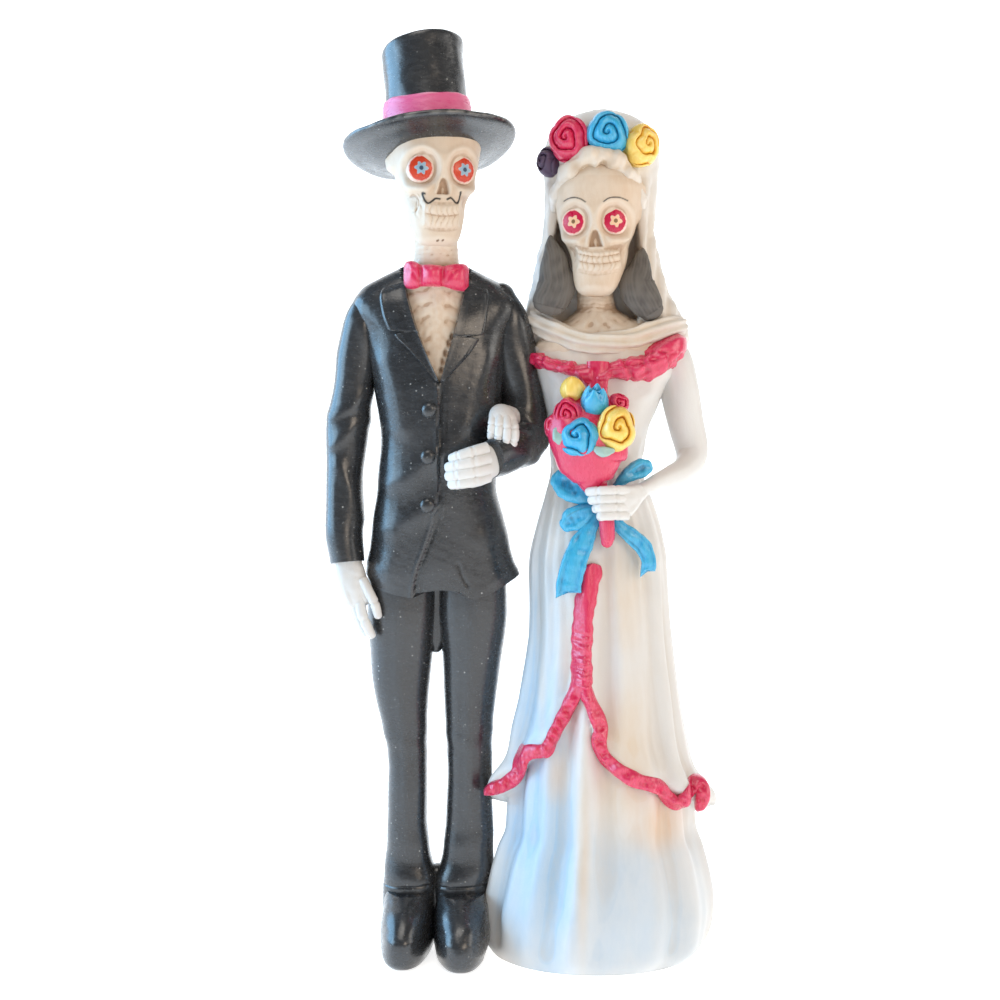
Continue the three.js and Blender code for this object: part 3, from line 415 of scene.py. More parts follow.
def specks(tree, place, scale, size, low, high, most=1.0):
    """Round specks about the middles of random cells, in those cells alone whose draw is above low."""
    cells = node(tree, "ShaderNodeTexVoronoi", {"Vector": place, "Scale": scale}, feature="F1")
    draw = node(tree, "ShaderNodeSeparateColor", {0: cells.outputs["Color"]}).outputs[0]
    return times(tree, between(tree, cells.outputs["Distance"], size, 0.08),
                 between(tree, draw, low, high, 0.0, most))


def painted(name, colour, wash, light, gloss, wash_from=0.03, wash_to=0.22, wash_most=0.7, ridge=0.25,
            mottle=0.35, rim_colour=(0.8, 0.74, 0.68), stroke=0.3, tints=(), dust=0.0, coat=0.0, brushed=0.28,
            grain_size=2600.0):
    """Brushed paint on cast resin. Hollows take the wash colour by the hollowness measured on the surface and
    broken up by noise: a tan antique wash on the bone, hands and white paint, and on the other paints a
    darker tone of their own that is painted shade. Ridges take the light one, a painted highlight that is
    partly dry-brushed paint; patches mottle the tone; the rim mask shows the primer; painted marks lie on
    top; dust is small pale specks and chips; strokes and grain give the bump."""
    made = bpy.data.materials.get(name)
    if made is not None:
        return made
    made = bpy.data.materials.new(name)
    made.use_nodes = True
    tree = made.node_tree
    tree.nodes.clear()
    place = node(tree, "ShaderNodeTexCoord").outputs["Object"]
    scale = (1.0, 1.0, brushed) if brushed < 1 else (1 / brushed, 1 / brushed, 1.0)
    drawn = node(tree, "ShaderNodeMapping", {"Vector": place, "Scale": scale}).outputs["Vector"]
    patches = noise(tree, place, 45.0, 3.0)
    strokes = noise(tree, drawn, 900.0, 4.0, 0.6)
    grain = noise(tree, place, grain_size, 2.0)
    hollow = attribute(tree, "hollow").outputs["Fac"]
    tone = blend(tree, between(tree, patches, 0.35, 0.7, 0.0, mottle), colour, light)
    for spot, reach, tint, most in tints:
        away = node(tree, "ShaderNodeVectorMath", {0: place, 1: spot}, operation="SUBTRACT").outputs[0]
        near = node(tree, "ShaderNodeVectorMath", {0: away, 1: reach}, operation="DIVIDE").outputs[0]
        far = node(tree, "ShaderNodeVectorMath", {0: near}, operation="LENGTH").outputs["Value"]
        ragged = worked(tree, "ADD", far, patches)
        tone = blend(tree, between(tree, ragged, 1.7, 0.7, 0.0, most), tone, tint)
    streak = between(tree, strokes, 0.35, 0.65, 0.0, ridge * 0.6)
    tone = blend(tree, streak, tone, light)
    # Painted highlight: raised parts take the light colour, partly as dry-brushed paint
    drybrush_and_highlight = between(tree, hollow, -0.03, -0.2, 0.0, ridge)
    tone = blend(tree, drybrush_and_highlight, tone, light)
    # Hollows: a tan antique wash on bone, hands and white paint; on the other paints a darker tone of their
    # own, painted shade
    deep = between(tree, hollow, wash_from, wash_to, 0.0, wash_most)
    wash_and_shade = times(tree, deep, between(tree, strokes, 0.25, 0.55, 0.45, 1.0))
    tone = blend(tree, wash_and_shade, tone, wash)
    tone = blend(tree, attribute(tree, "rim").outputs["Fac"], tone, rim_colour)
    marks = attribute(tree, "paint")
    tone = blend(tree, marks.outputs["Alpha"], tone, marks.outputs["Color"])
    rough = between(tree, strokes, 0.3, 0.7, gloss - 0.06, gloss + 0.08)
    if dust:
        speck = specks(tree, place, 700.0, 0.17, 0.72, 0.95)
        speck = times(tree, speck, between(tree, patches, 0.36, 0.6, 0.25, 1.0))
        powder = specks(tree, place, 1500.0, 0.2, 0.75, 1.0, 0.6)
        scrape = between(tree, noise(tree, place, 300.0, 6.0, 0.75), 0.7, 0.74)
        chips = times(tree, scrape, between(tree, hollow, 0.0, -0.03, 0.2, 1.0))
        pale = worked(tree, "MAXIMUM", worked(tree, "MAXIMUM", speck, powder), chips)
        tone = blend(tree, times(tree, pale, dust), tone, (0.5, 0.5, 0.48))
    inputs = {"Base Color": tone, "Roughness": rough, "IOR": 1.5, "Coat Weight": coat, "Coat Roughness": 0.25}
    shader = node(tree, "ShaderNodeBsdfPrincipled", inputs)
    height = worked(tree, "ADD", strokes, grain)
    skin = node(tree, "ShaderNodeBump", {"Height": height, "Distance": 0.0002, "Strength": stroke})
    tree.links.new(skin.outputs["Normal"], shader.inputs["Normal"])
    out = node(tree, "ShaderNodeOutputMaterial")
    tree.links.new(shader.outputs[0], out.inputs["Surface"])
    return made


# In each finish the colour after the base one goes in hollows, the next on raised parts and mottled patches:
# in hollows a tan antique wash for bone, hands and white, painted shade for the rest; on raised parts a
# painted highlight, partly dry-brushed
def bone():
    c = colours()
    return painted("bone paint", c.bone, c.wash, c.bone_light, 0.45, wash_from=0.03, wash_to=0.17,
                   wash_most=0.64, mottle=0.45, ridge=0.4, stroke=0.22)


def hand():
    c = colours()
    return painted("hand paint", c.white, (0.34, 0.25, 0.18), c.white_light, 0.4, wash_from=0.015,
                   wash_to=0.1, wash_most=0.6, mottle=0.35, ridge=0.4, stroke=0.22)


def black():
    c = colours()
    return painted("black paint", c.black, (0.005, 0.005, 0.006), (0.035, 0.037, 0.04), 0.25, ridge=0.4,
                   mottle=0.4, rim_colour=(0.32, 0.3, 0.27), stroke=0.2, dust=0.9, brushed=2.2,
                   grain_size=2000.0, coat=0.5)


def white():
    c = colours()
    # Pale blue is airbrushed low on the gown and up its left side, where it is also painted light: the blue
    # light from the left; the cream and peach patches are the paint's own tints
    tints = [
        ((0.02, -0.01, 0.014), (0.034, 0.03, 0.026), c.sky_tint_and_blue_light, 0.5),
        ((0.005, -0.01, 0.03), (0.011, 0.03, 0.046), c.sky_tint_and_blue_light, 0.95),
        ((0.001, -0.01, 0.075), (0.010, 0.03, 0.035), c.sky_tint_and_blue_light, 0.75),
        ((0.03, -0.01, 0.008), (0.02, 0.03, 0.012), c.sky_tint_and_blue_light, 0.4),
        ((0.0045, -0.02, 0.08), (0.0016, 0.02, 0.03), c.cream_tint, 0.7),
        ((0.014, -0.022, 0.03), (0.0022, 0.02, 0.03), c.cream_tint, 0.7),
        ((0.024, -0.02, 0.052), (0.008, 0.02, 0.022), c.cream_tint, 0.75),
        ((0.034, -0.015, 0.036), (0.008, 0.02, 0.009), c.peach_tint, 0.8),
        ((0.025, -0.015, 0.095), (0.006, 0.02, 0.02), c.cream_tint, 0.6),
        ((0.008, -0.02, 0.047), (0.004, 0.02, 0.008), c.peach_tint, 0.55),
        ((0.02, -0.015, 0.128), (0.01, 0.03, 0.012), c.cream_tint, 0.4),
        ((0.012, 0.0, 0.19), (0.012, 0.03, 0.025), c.cream_tint, 0.6),
        ((0.019, -0.008, 0.195), (0.015, 0.01, 0.012), c.cream_tint, 0.85),
        ((0.03, 0.0, 0.17), (0.008, 0.03, 0.03), c.cream_tint, 0.5),
        ((0.02, -0.008, 0.153), (0.03, 0.02, 0.009), c.cream_tint, 0.7),
    ]
    return painted("white paint", c.white, (0.5, 0.42, 0.33), c.white_light, 0.38, wash_from=0.06,
                   wash_to=0.5, wash_most=0.2, mottle=0.35, ridge=0.2, stroke=0.2, tints=tints)


def pink():
    c = colours()
    return painted("pink paint", c.pink, c.pink_deep, c.pink_light, 0.26, wash_from=0.06, wash_to=0.34,
                   wash_most=0.28, ridge=0.35, mottle=0.12, rim_colour=(0.84, 0.66, 0.6), stroke=0.25,
                   coat=0.5)


def hat_pink():
    c = colours()
    return painted("hat band pink paint", c.band_pink, c.pink, (0.78, 0.19, 0.36), 0.3, ridge=0.6, mottle=0.3,
                   rim_colour=(0.86, 0.6, 0.66), stroke=0.35, brushed=3.0)


def blue():
    c = colours()
    return painted("blue paint", c.blue, c.blue_deep, c.blue_light, 0.26, ridge=0.5, mottle=0.25,
                   rim_colour=(0.62, 0.68, 0.68), stroke=0.28, coat=0.4)


def yellow():
    c = colours()
    return painted("yellow paint", c.yellow, c.yellow_deep, c.yellow_light, 0.26, ridge=0.55, mottle=0.25,
                   wash_from=0.0, wash_to=0.3, wash_most=0.9, rim_colour=(0.8, 0.74, 0.6), stroke=0.25,
                   coat=0.4)


def purple():
    c = colours()
    return painted("purple paint", c.purple, (0.012, 0.008, 0.02), (0.12, 0.08, 0.14), 0.45, stroke=0.35)


def hair():
    c = colours()
    return painted("hair paint", c.hair, (0.035, 0.03, 0.027), (0.16, 0.14, 0.12), 0.62, ridge=0.55,
                   wash_from=0.0, wash_to=0.1, wash_most=0.6, mottle=0.2, rim_colour=(0.45, 0.36, 0.3),
                   stroke=0.35)


def leaf():
    c = colours()
    return painted("leaf paint", c.leaf, (0.1, 0.2, 0.19), (0.42, 0.55, 0.5), 0.34, stroke=0.3,
                   rim_colour=(0.62, 0.66, 0.6))


# Sizes and colours


def length(name, description, default):
    return bpy.props.FloatProperty(name=name, description=description, default=default, min=0.0,
                                   unit="LENGTH", precision=5)


def colour(name, description, default):
    return bpy.props.FloatVectorProperty(name=name, description=description, default=default, min=0.0,
                                         max=1.0, size=3, subtype="COLOR")


class CoupleSizes(bpy.types.PropertyGroup):
    """Sizes of the couple that a user would change, in metres."""

    brim_radius: length("Brim radius", "Radius of the hat's brim", 0.0216)
    crown_radius: length("Crown radius", "Radius of the hat's crown", 0.0104)
    crown_height: length("Crown height", "Height of the hat's crown", 0.0262)
    band_height: length("Band height", "Height of the hat's band", 0.0092)
    eye_radius: length("Eye radius", "Radius of a painted eye", 0.00315)
    tooth_pitch: length("Tooth pitch", "Distance from tooth to tooth", 0.00125)
    button_radius: length("Button radius", "Radius of a coat button", 0.00185)
    rib_depth: length("Rib depth", "Depth of the carved ribs", 0.0007)
    fold_depth: length("Fold depth", "Depth of the skirt's folds", 0.00095)
    crinkle: length("Crinkle", "Depth of the crinkles in the ruffle and trims", 0.0006)
    trim_width: length("Trim width", "Width of the crinkled trim", 0.0042)
    rose_radius: length("Rose radius", "Radius of a rose of the wreath", 0.0053)


class CoupleColours(bpy.types.PropertyGroup):
    """Colours of the couple's paints."""

    # Light colours go on raised parts as a painted highlight, partly dry-brushed, and tint the mottled
    # patches; deep colours go in hollows as painted shade; the tan wash is the bone's antique wash
    bone: colour("Bone", "Skulls, necks and the groom's chest", (0.62, 0.46, 0.325))
    bone_light: colour("Bone light", "Raised parts of the bone", (0.72, 0.62, 0.51))
    wash: colour("Wash", "Tan wash in the hollows of the bone", (0.36, 0.2, 0.11))
    black: colour("Black", "Hat, suit and shoes", (0.016, 0.017, 0.019))
    white: colour("White", "Gown, veil, arms and hands", (0.655, 0.62, 0.58))
    white_light: colour("White light", "Raised folds of the gown", (0.71, 0.7, 0.685))
    # Airbrushed pale blue that also stands in for the blue light on the gown's lower left, as painted light
    sky_tint_and_blue_light: colour("Sky tint", "Pale blue airbrushed on the gown", (0.34, 0.52, 0.69))
    cream_tint: colour("Cream tint", "Cream airbrushed on the gown", (0.66, 0.51, 0.355))
    peach_tint: colour("Peach tint", "Orange cream airbrushed on the gown", (0.68, 0.47, 0.3))
    pink: colour("Pink", "Bow tie, ruffle, trims and bouquet", (0.58, 0.004, 0.055))
    pink_deep: colour("Deep pink", "Hollows of the pink", (0.36, 0.005, 0.045))
    pink_light: colour("Light pink", "Ridges of the pink", (0.74, 0.06, 0.15))
    band_pink: colour("Band pink", "Ribbon of the hat", (0.74, 0.025, 0.17))
    blue: colour("Blue", "Ribbon and blue flowers", (0.022, 0.31, 0.58))
    blue_deep: colour("Deep blue", "Hollows of the blue", (0.008, 0.12, 0.24))
    blue_light: colour("Light blue", "Ridges of the blue", (0.06, 0.44, 0.66))
    yellow: colour("Yellow", "Yellow flowers", (0.84, 0.5, 0.045))
    yellow_deep: colour("Deep yellow", "Hollows of the yellow", (0.6, 0.19, 0.008))
    yellow_light: colour("Light yellow", "Ridges of the yellow", (0.9, 0.68, 0.2))
    purple: colour("Purple", "Rose behind the pink one", (0.04, 0.018, 0.05))
    hair: colour("Hair", "Bride's hair", (0.07, 0.06, 0.053))
    leaf: colour("Leaf", "Leaves of the bouquet", (0.25, 0.42, 0.38))
    groom_eye: colour("Groom's eye", "Disc of the groom's eyes", (0.58, 0.045, 0.012))
    bride_eye: colour("Bride's eye", "Disc of the bride's eyes", (0.5, 0.006, 0.05))


def sizes():
    return bpy.context.scene.couple_sizes


def colours():
    return bpy.context.scene.couple_colours


# Skulls, shared by both heads: heights from the middle of the eyes, the face along -Y

SKULL = [
    [-18.5, 0, -6.2, 2.0, 1.5, 1.4, 2.2],
    [-18.1, 0, -6.1, 3.4, 2.5, 2.4, 2.5],
    [-17.2, 0, -6.0, 4.6, 3.5, 3.4, 2.7],
    [-15.4, 0, -5.4, 5.6, 4.8, 5.0, 2.7],
    [-12.0, 0, -4.6, 6.5, 6.4, 6.8, 2.7],
    [-8.0, 0, -3.2, 7.3, 8.0, 8.2, 2.5],
    [-5.4, 0, -2.2, 8.0, 8.5, 9.2, 2.3],
    [-1.2, 0, -1.0, 9.6, 9.2, 10.6, 2.3],
    [4.0, 0, -0.4, 10.6, 10.4, 11.4, 2.3],
    [9.0, 0, 0.0, 11.4, 10.4, 11.4, 2.2],
    [13.5, 0, 0.4, 9.6, 8.8, 9.6, 2.1],
    [16.0, 0, 0.5, 6.0, 5.6, 6.2, 2.0],
    [17.0, 0, 0.6, 1.6, 1.6, 1.8, 2.0],
]
EYE_SPREAD = 5.25
EYE_FRONT = -8.6
EYE_TURN = 13
INK = (0.018, 0.016, 0.016)
DARK_BROWN = (0.16, 0.075, 0.03)


def skull_relief(grid, out, nose, tooth_rows, block, scratches):
    """Carving of the face, in mm along the normals, as bumps and steps in the plane of the face: shallow
    sockets, cheekbones with the cheeks cut in below them, the nose hole, rows of small rounded teeth on a
    low block, engraved lines on the cheek, and a cranium wider behind the temples."""
    x, z = grid[..., 0], grid[..., 2]
    facing = step(0.05, 0.45, -out[..., 1])
    aside = np.abs(x)
    eye = np.hypot(aside - EYE_SPREAD, (z - 0.4) * 0.95)
    carve = -1.0 * step(4.9, 2.9, eye) + 0.15 * bump((eye - 4.7) / 0.8)
    carve += 0.35 * bump(x / 1.7, (z + 0.2) / 3.2)
    centre, wide, low, high = nose
    across = np.abs(x - centre)
    share = np.clip((high - z) / (high - low), 0, 1)
    edge = wide * (0.2 + 0.8 * share**0.6)
    hole = step(0.3, -0.3, across - edge) * step(low - 0.3, low + 0.4, z) * step(high + 0.3, high - 0.3, z)
    carve += -1.5 * hole * (1 - 0.45 * bump((x - centre) / 0.35, (z - low - 0.6) / 1.1))
    carve += 0.25 * bump((across - edge - 0.45) / 0.5, (z + 4.2) / 1.8)
    bone_line = from_line(aside, z, [(4.2, -5.0), (6.8, -4.5), (8.8, -3.4), (10.8, -2.2)])
    carve += 0.9 * bump(bone_line / 1.3)
    carve += -0.9 * bump((aside - 7.1) / 2.0, (z + 7.6) / 2.2)
    middle, half, top, base = block
    curved = z - 0.035 * (x - middle) ** 2
    inside = step(half + 0.9, half - 0.4, np.abs(x - middle)) * step(base - 0.7, base + 0.3, curved)
    mouth = inside * step(top + 0.6, top - 0.3, curved)
    uneven = 0.25 * wobble(grid, 3.0, 4)
    beads = np.abs(np.sin(pi * ((x - middle) / mm(sizes().tooth_pitch) + uneven))) ** 0.55
    rows = 0 * z
    for a, b in zip(tooth_rows[:-1], tooth_rows[1:]):
        share = np.clip((a - curved) / (a - b), 0, 1)
        rows = rows + np.maximum(np.sin(pi * share), 0) ** 0.6
    teeth = step(half + 0.3, half - 0.3, np.abs(x - middle)) * mouth
    carve += 0.45 * mouth + 0.46 * (rows * (0.4 + 0.6 * beads) - 0.5) * teeth
    carve += 0.35 * bump(x / 3.4, (z + 16.4) / 1.3)
    hatch = (0.5 + 0.5 * np.cos(TURN * (0.8 * x + 0.22 * z + 0.2 * wobble(grid, 3.0, 5)) / 1.15)) ** 3
    cheek = bump((x + 6.2) / 1.3, (z + 9.4) / 2.6)
    loop = bump((np.hypot((x + 6.9) / 1.0, (z + 8.2) / 1.7) - 1.2) / 0.16)
    carve += -scratches * (hatch * cheek + 0.8 * loop)
    behind = bump((grid[..., 1] - 4.5) / 4.5) * step(0.0, 2.4, z) * step(13, 10, z)
    return carve * facing + 1.7 * behind * np.abs(out[..., 0]) + 0.03 * wobble(grid, 3.0, 8)


def skull(name, centre, turn, scale, slide, nose, tooth_rows, block, marks, scratches, lid):
    """Head: a loft through the skull's rows, denser in front, its jaw slid sideways by pairs of height and
    distance, carved by skull_relief, with painted marks; lid(x, y) is the height that it stays under."""
    heights = np.concatenate([[-18.55], np.linspace(-18.5, 12, 154), np.linspace(12.5, 17, 7)])
    grid = loft(SKULL, heights, angles(215, 0.45))
    out = normals(grid)
    carve = skull_relief(grid, out, nose, tooth_rows, block, scratches)
    x, z = grid[..., 0].copy(), grid[..., 2].copy()
    grid = grid + out * carve[..., None]
    shift = curve(slide, z)[..., 0]
    grid[..., 0] += shift
    facing = step(0.1, 0.3, -out[..., 1])
    paint = np.zeros((*x.shape, 4))
    for line, half, tone in marks:
        cover = step(half + 0.1, half - 0.1, from_line(x + shift, z, line)) * facing
        paint[..., :3] = np.where(cover[..., None] > 0, tone, paint[..., :3])
        paint[..., 3] = np.maximum(paint[..., 3], cover)
    placed = turned_by(grid * scale, z=turn) + centre
    placed[..., 2] = np.minimum(placed[..., 2], lid(placed[..., 0], placed[..., 1]))
    make_piece(name, [placed], bone(), [paint])


def eyes(name, centre, turn, scale, disc, star, middle, petals, shift):
    """Eyes: two low domes, z = h (1 - r^2), painted in rings about their middles: a pupil, a star of
    petals where r < a (1 + b cos(n angle)), the coloured disc, and a pale uneven rim."""
    radius = mm(sizes().eye_radius)
    r = np.concatenate([[1.16, 1.12, 1.06], np.linspace(1.0, 0.006, 36)])[:, None]
    a = circle(96)
    high = np.where(r > 1, -3.0 * (r - 1) / 0.16, 0.7 * (1 - np.minimum(r, 1) ** 2) ** 0.8)
    flat = np.stack([radius * r * np.cos(a), 1.06 * radius * r * np.sin(a), high + 0 * a], -1)
    near = np.hypot(r * np.cos(a) - 0.06, r * np.sin(a) - 0.02)
    about = np.arctan2(r * np.sin(a) - 0.02, r * np.cos(a) - 0.06)
    star_edge = 0.4 * (1 + 0.22 * np.cos(petals * about + 0.5) + 0.06 * np.cos(2 * about))
    rim = 0.9 + 0.02 * np.cos(17 * a)
    edge = 0.86 + 0.012 * np.cos(9 * a + 1) + 0.01 * np.cos(13 * a)
    layers = [
        (r > -1, (0.8, 0.6, 0.5)),
        (r < rim, (0.8, 0.36, 0.32)),
        (r < edge, disc),
        ((r < edge) & (np.abs(near - 0.68) < 0.05 * np.cos(petals * about)), tuple(1.2 * v for v in disc)),
        (near < star_edge + 0.035, tuple(0.5 * v + 0.3 for v in star)),
        (near < star_edge, star),
        (near < 0.16, middle),
    ]
    tone = np.ones((*np.broadcast(r, a).shape, 4))
    for where, shade in layers:
        tone[np.broadcast_to(where, tone.shape[:2]), :3] = shade
    grids = []
    for side in (-1, 1):
        dome = turned_by(flat, x=90, z=side * EYE_TURN) + [side * EYE_SPREAD + shift[0], EYE_FRONT, shift[1]]
        grids.append(turned_by(dome * scale, z=turn) + centre)
    finish = painted(f"{name} paint", disc, disc, disc, 0.3, mottle=0.0, ridge=0.0, wash_most=0.0,
                     stroke=0.15, coat=0.2)
    make_piece(name, grids, finish, [tone, tone])


GROOM_HEAD = (-21.4, -1.0, 193.2)
GROOM_TURN = 15
BRIDE_HEAD = (19.0, -1.0, 180.8)
BRIDE_TURN = -9
BRIDE_SCALE = 0.955

# Groom

HAT_SEAT = (-22.6, 1.2, 200.6)
HAT_TIP_BACK = -11
HAT_LEAN = -6
CROWN_LEAN = 1
BRIM_CURL = 1.5


def on_head(grid):
    """Sets a piece of the hat, made upright, on the groom's head."""
    return turned_by(grid, x=HAT_TIP_BACK, y=HAT_LEAN) + HAT_SEAT


COAT = [
    [87.0, -19.6, 0.6, 19.3, 10.6, 10.8, 2.4],
    [90.4, -19.8, 0.6, 19.0, 10.8, 10.8, 2.4],
    [94.2, -20.1, 0.5, 18.5, 10.9, 10.9, 2.4],
    [98.0, -20.2, 0.4, 18.0, 10.9, 10.6, 2.4],
    [103.8, -20.3, 0.3, 17.2, 11.0, 10.3, 2.4],
    [109.3, -20.7, 0.2, 16.2, 11.2, 10.0, 2.4],
    [116.8, -21.0, 0.0, 14.8, 11.4, 9.6, 2.4],
    [128.0, -20.1, 0.0, 14.8, 11.8, 9.8, 2.4],
    [139.2, -20.4, 0.0, 15.9, 11.8, 10.4, 2.4],
    [154.1, -20.9, 0.3, 18.1, 11.0, 11.0, 2.5],
    [161.4, -21.0, 0.6, 21.0, 9.2, 10.2, 2.5],
    [165.4, -21.2, 0.9, 18.6, 7.6, 8.8, 2.5],
    [168.6, -21.4, 1.2, 13.0, 6.2, 7.4, 2.4],
    [171.4, -21.4, 1.4, 7.4, 4.6, 6.0, 2.2],
]
NECKLINE_LEFT = [(-29.8, 171.5), (-29.2, 169), (-28.4, 165.5), (-26.3, 157.8), (-24.1, 151.5), (-22.1, 146.6),
                 (-19.9, 141.7)]
NECKLINE_RIGHT = [(-12.6, 171.5), (-13.0, 169), (-13.7, 165.5), (-15.1, 159.2), (-16.6, 153.2),
                  (-18.4, 146.6), (-19.7, 141.7)]
FRONT_EDGE = [(-19.8, 142.5), (-20.1, 130), (-20.0, 118), (-20.3, 112), (-21.5, 107), (-23.4, 101.5),
              (-25.2, 95.5), (-26.2, 90.0), (-26.4, 86)]
COAT_LOW = 87
HEM_TOP = 101
BACK_HEM = 92.4
BACK_SEAM = -20.6
COAT_HEM = [(-42, 97.0), (-38.4, 94.6), (-37.0, 92.6), (-35.0, 91.2), (-31, 90.1), (-26.6, 89.4),
            (-26.0, 90.6), (-20, 91.4), (-15.0, 91.0), (-13.4, 89.6), (-11.4, 88.7), (-8, 90.0), (-4, 92.3),
            (-0.6, 94.4), (2, 96.0)]


def coat_grid():
    """Coat: a loft pushed in behind the neckline, its left front lapped over the right one with a lip and
    a groove, soft folds from the buttons and the armpits, and its hem run along a drawn line."""
    heights = with_ends(np.linspace(COAT_LOW, COAT[-1][0], 152), 0.02)
    grid = loft(COAT, heights, angles(220, 0.35))
    out = normals(grid)
    x, z = grid[..., 0], grid[..., 2]
    facing = step(0.0, 0.4, -out[..., 1])
    left = x_at(NECKLINE_LEFT, z)
    right = x_at(NECKLINE_RIGHT, z)
    inside = np.minimum(x - left, right - x)
    open_neck = step(-0.1, 0.5, inside) * step(141.6, 142.4, z)
    lap = x_at(FRONT_EDGE, z)
    over = lap - x
    below = step(142.6, 140.5, z)
    carve = below * (0.5 * step(-0.1, 0.25, over) * step(12, 0.5, over) + 0.25 * bump((over - 0.6) / 0.45))
    carve += -0.22 * below * bump((over + 0.35) / 0.35)
    corner = from_line(x, z, [(-15.4, 96.5), (-14.8, 93.6), (-13.4, 90.8)])
    carve += -0.22 * bump(corner / 0.45)
    for fold, depth in (
        ([(-21, 124), (-27, 119), (-33, 117)], 0.3),
        ([(-21, 112), (-28, 108), (-34, 106)], 0.3),
        ([(-19.5, 124), (-13, 130), (-8, 137)], 0.3),
        ([(-34, 147), (-30.5, 140), (-29, 131)], 0.4),
        ([(-8.0, 148), (-11, 140), (-13.5, 132)], 0.4),
        ([(-31, 104), (-32, 97), (-33, 91)], 0.3),
        ([(-9, 104), (-7.5, 97), (-6, 91)], 0.3),
    ):
        carve += depth * bump(from_line(x, z, fold) / 2.4)
    carve += 0.12 * wobble(grid * [1, 1, 0.45], 10.0, 21) + 0.012 * wobble(grid, 2.6, 22)
    grid = grid + out * (carve * facing * (1 - open_neck))[..., None]
    grid[..., 1] += 6.5 * open_neck * facing
    back = step(0.2, 0.7, out[..., 1])
    seam = -0.5 * bump((x - BACK_SEAM) / 0.45) * back
    vent = -0.7 * bump((x - BACK_SEAM) / 0.6) * back * step(110, 106, z)
    grid = grid + out * (seam + vent + 0.2 * back * wobble(grid, 11.0, 23))[..., None]
    hem = np.interp(grid[..., 0], *zip(*COAT_HEM))
    hem = hem + (BACK_HEM - hem) * back
    height = grid[..., 2]
    fitted = hem + (height - COAT_LOW) * (HEM_TOP - hem) / (HEM_TOP - COAT_LOW)
    grid[..., 2] = np.where(height < HEM_TOP, fitted, height)
    return grid


def lapel_grid(side, surface):
    """Lapel: across it, from the neckline out, a roll falling to a thin edge over the coat; its width runs
    from the button up, steps in at the notch and out again along the collar."""
    inner = (NECKLINE_LEFT if side < 0 else NECKLINE_RIGHT)[::-1]
    inner = even([(x - side * 0.15, z) for x, z in inner if z < 169.5], 200)
    z = inner[:, 1]
    if side < 0:
        widths = [[141.6, 0.6], [144, 1.5], [147.1, 2.7], [150.7, 4.6], [152.2, 5.7], [153.6, 6.4]]
        collar = [[154.3, 7.4], [157.8, 7.7], [162, 7.4], [164.5, 6.6], [167, 3.6], [169, 1.6]]
        notch_z = 154.2
    else:
        widths = [[141.6, 0.6], [142.6, 1.4], [145.1, 3.0], [148.8, 5.4], [151.8, 6.6], [152.6, 6.9]]
        collar = [[153.3, 7.7], [156, 7.6], [159.2, 7.2], [162, 6.9], [164.5, 6.1], [167, 3.4], [169, 1.5]]
        notch_z = 153.1
    wide = np.where(z > notch_z, curve(collar, z)[:, 0], curve(widths, z)[:, 0])
    reach = wide * (1 - 0.5 * bump((z - notch_z) / 0.3))
    s = np.linspace(0, 1, 20)[None, :]
    x = inner[:, :1] + side * reach[:, None] * s
    up = z[:, None] + 0 * s
    edge = np.minimum(step(0, 0.05, s), step(1.0, 0.93, s))
    roll = 0.95 - 0.25 * s + 0.22 * bump(s / 0.12) + 0.16 * bump((s - 0.92) / 0.06)
    high = roll * edge - 0.3 * (1 - edge)
    high = (high + 0.4) * step(168.2, 165.2, up + 2.0 * s) * step(141.4, 142.6, up) - 0.4
    ring = laid(x, up, high, surface, 1.8)
    return ring if side > 0 else ring[:, ::-1]


CHEST = [
    [139.0, -20.6, -5.0, 5.0, 4.4, 4.0, 2.0],
    [146.0, -20.6, -4.4, 7.4, 5.8, 4.0, 2.0],
    [158.0, -20.8, -3.6, 8.8, 6.0, 4.0, 2.0],
    [165.0, -21.0, -2.4, 8.8, 5.4, 4.2, 2.0],
    [169.0, -21.2, -1.6, 6.6, 5.1, 4.8, 2.0],
    [172.0, -21.0, -2.4, 5.6, 5.6, 5.2, 2.0],
    [176.0, -21.0, -4.0, 5.3, 5.8, 5.4, 2.0],
    [181.0, -21.0, -5.0, 5.4, 5.6, 5.4, 2.0],
]


def chest_relief(x, z, grid):
    """Low ribs sagging towards the breastbone, cos(2 pi (z + 0.3 |x|) / 4.2), thin engraved lines, a few dark
    pits at the bottom of the opening, and fine rings round the neck."""
    off = x + 20.4
    depth = mm(sizes().rib_depth)
    drift = 0.5 * wobble(grid, 6.0, 31)
    ribs = np.cos(TURN * (z + 0.3 * np.abs(off) + drift) / 4.2)
    below = step(168, 164, z)
    carve = depth * below * (0.2 * ribs * step(0.5, 2.4, np.abs(off)) + 0.15 * bump(off / 1.2))
    line = bump((np.mod(z + 0.42 * np.abs(off) + 1.3 * drift, 3.4) - 1.7) / 0.16)
    carve += -0.03 * below * line * step(-0.4, 0.5, wobble(grid, 5.0, 34))
    for px, pz in ((-17.6, 151.4), (-18.4, 149.2), (-19.1, 147.0), (-16.8, 153.2), (-19.5, 144.9)):
        carve += -1.0 * bump((x - px) / 0.45, (z - pz) / 0.8)
    rings = 0.05 * np.cos(TURN * (z + 0.2 * wobble(grid, 4.0, 32)) / 1.15) * step(170, 172, z)
    return carve + rings + 0.05 * wobble(grid, 1.8, 33)


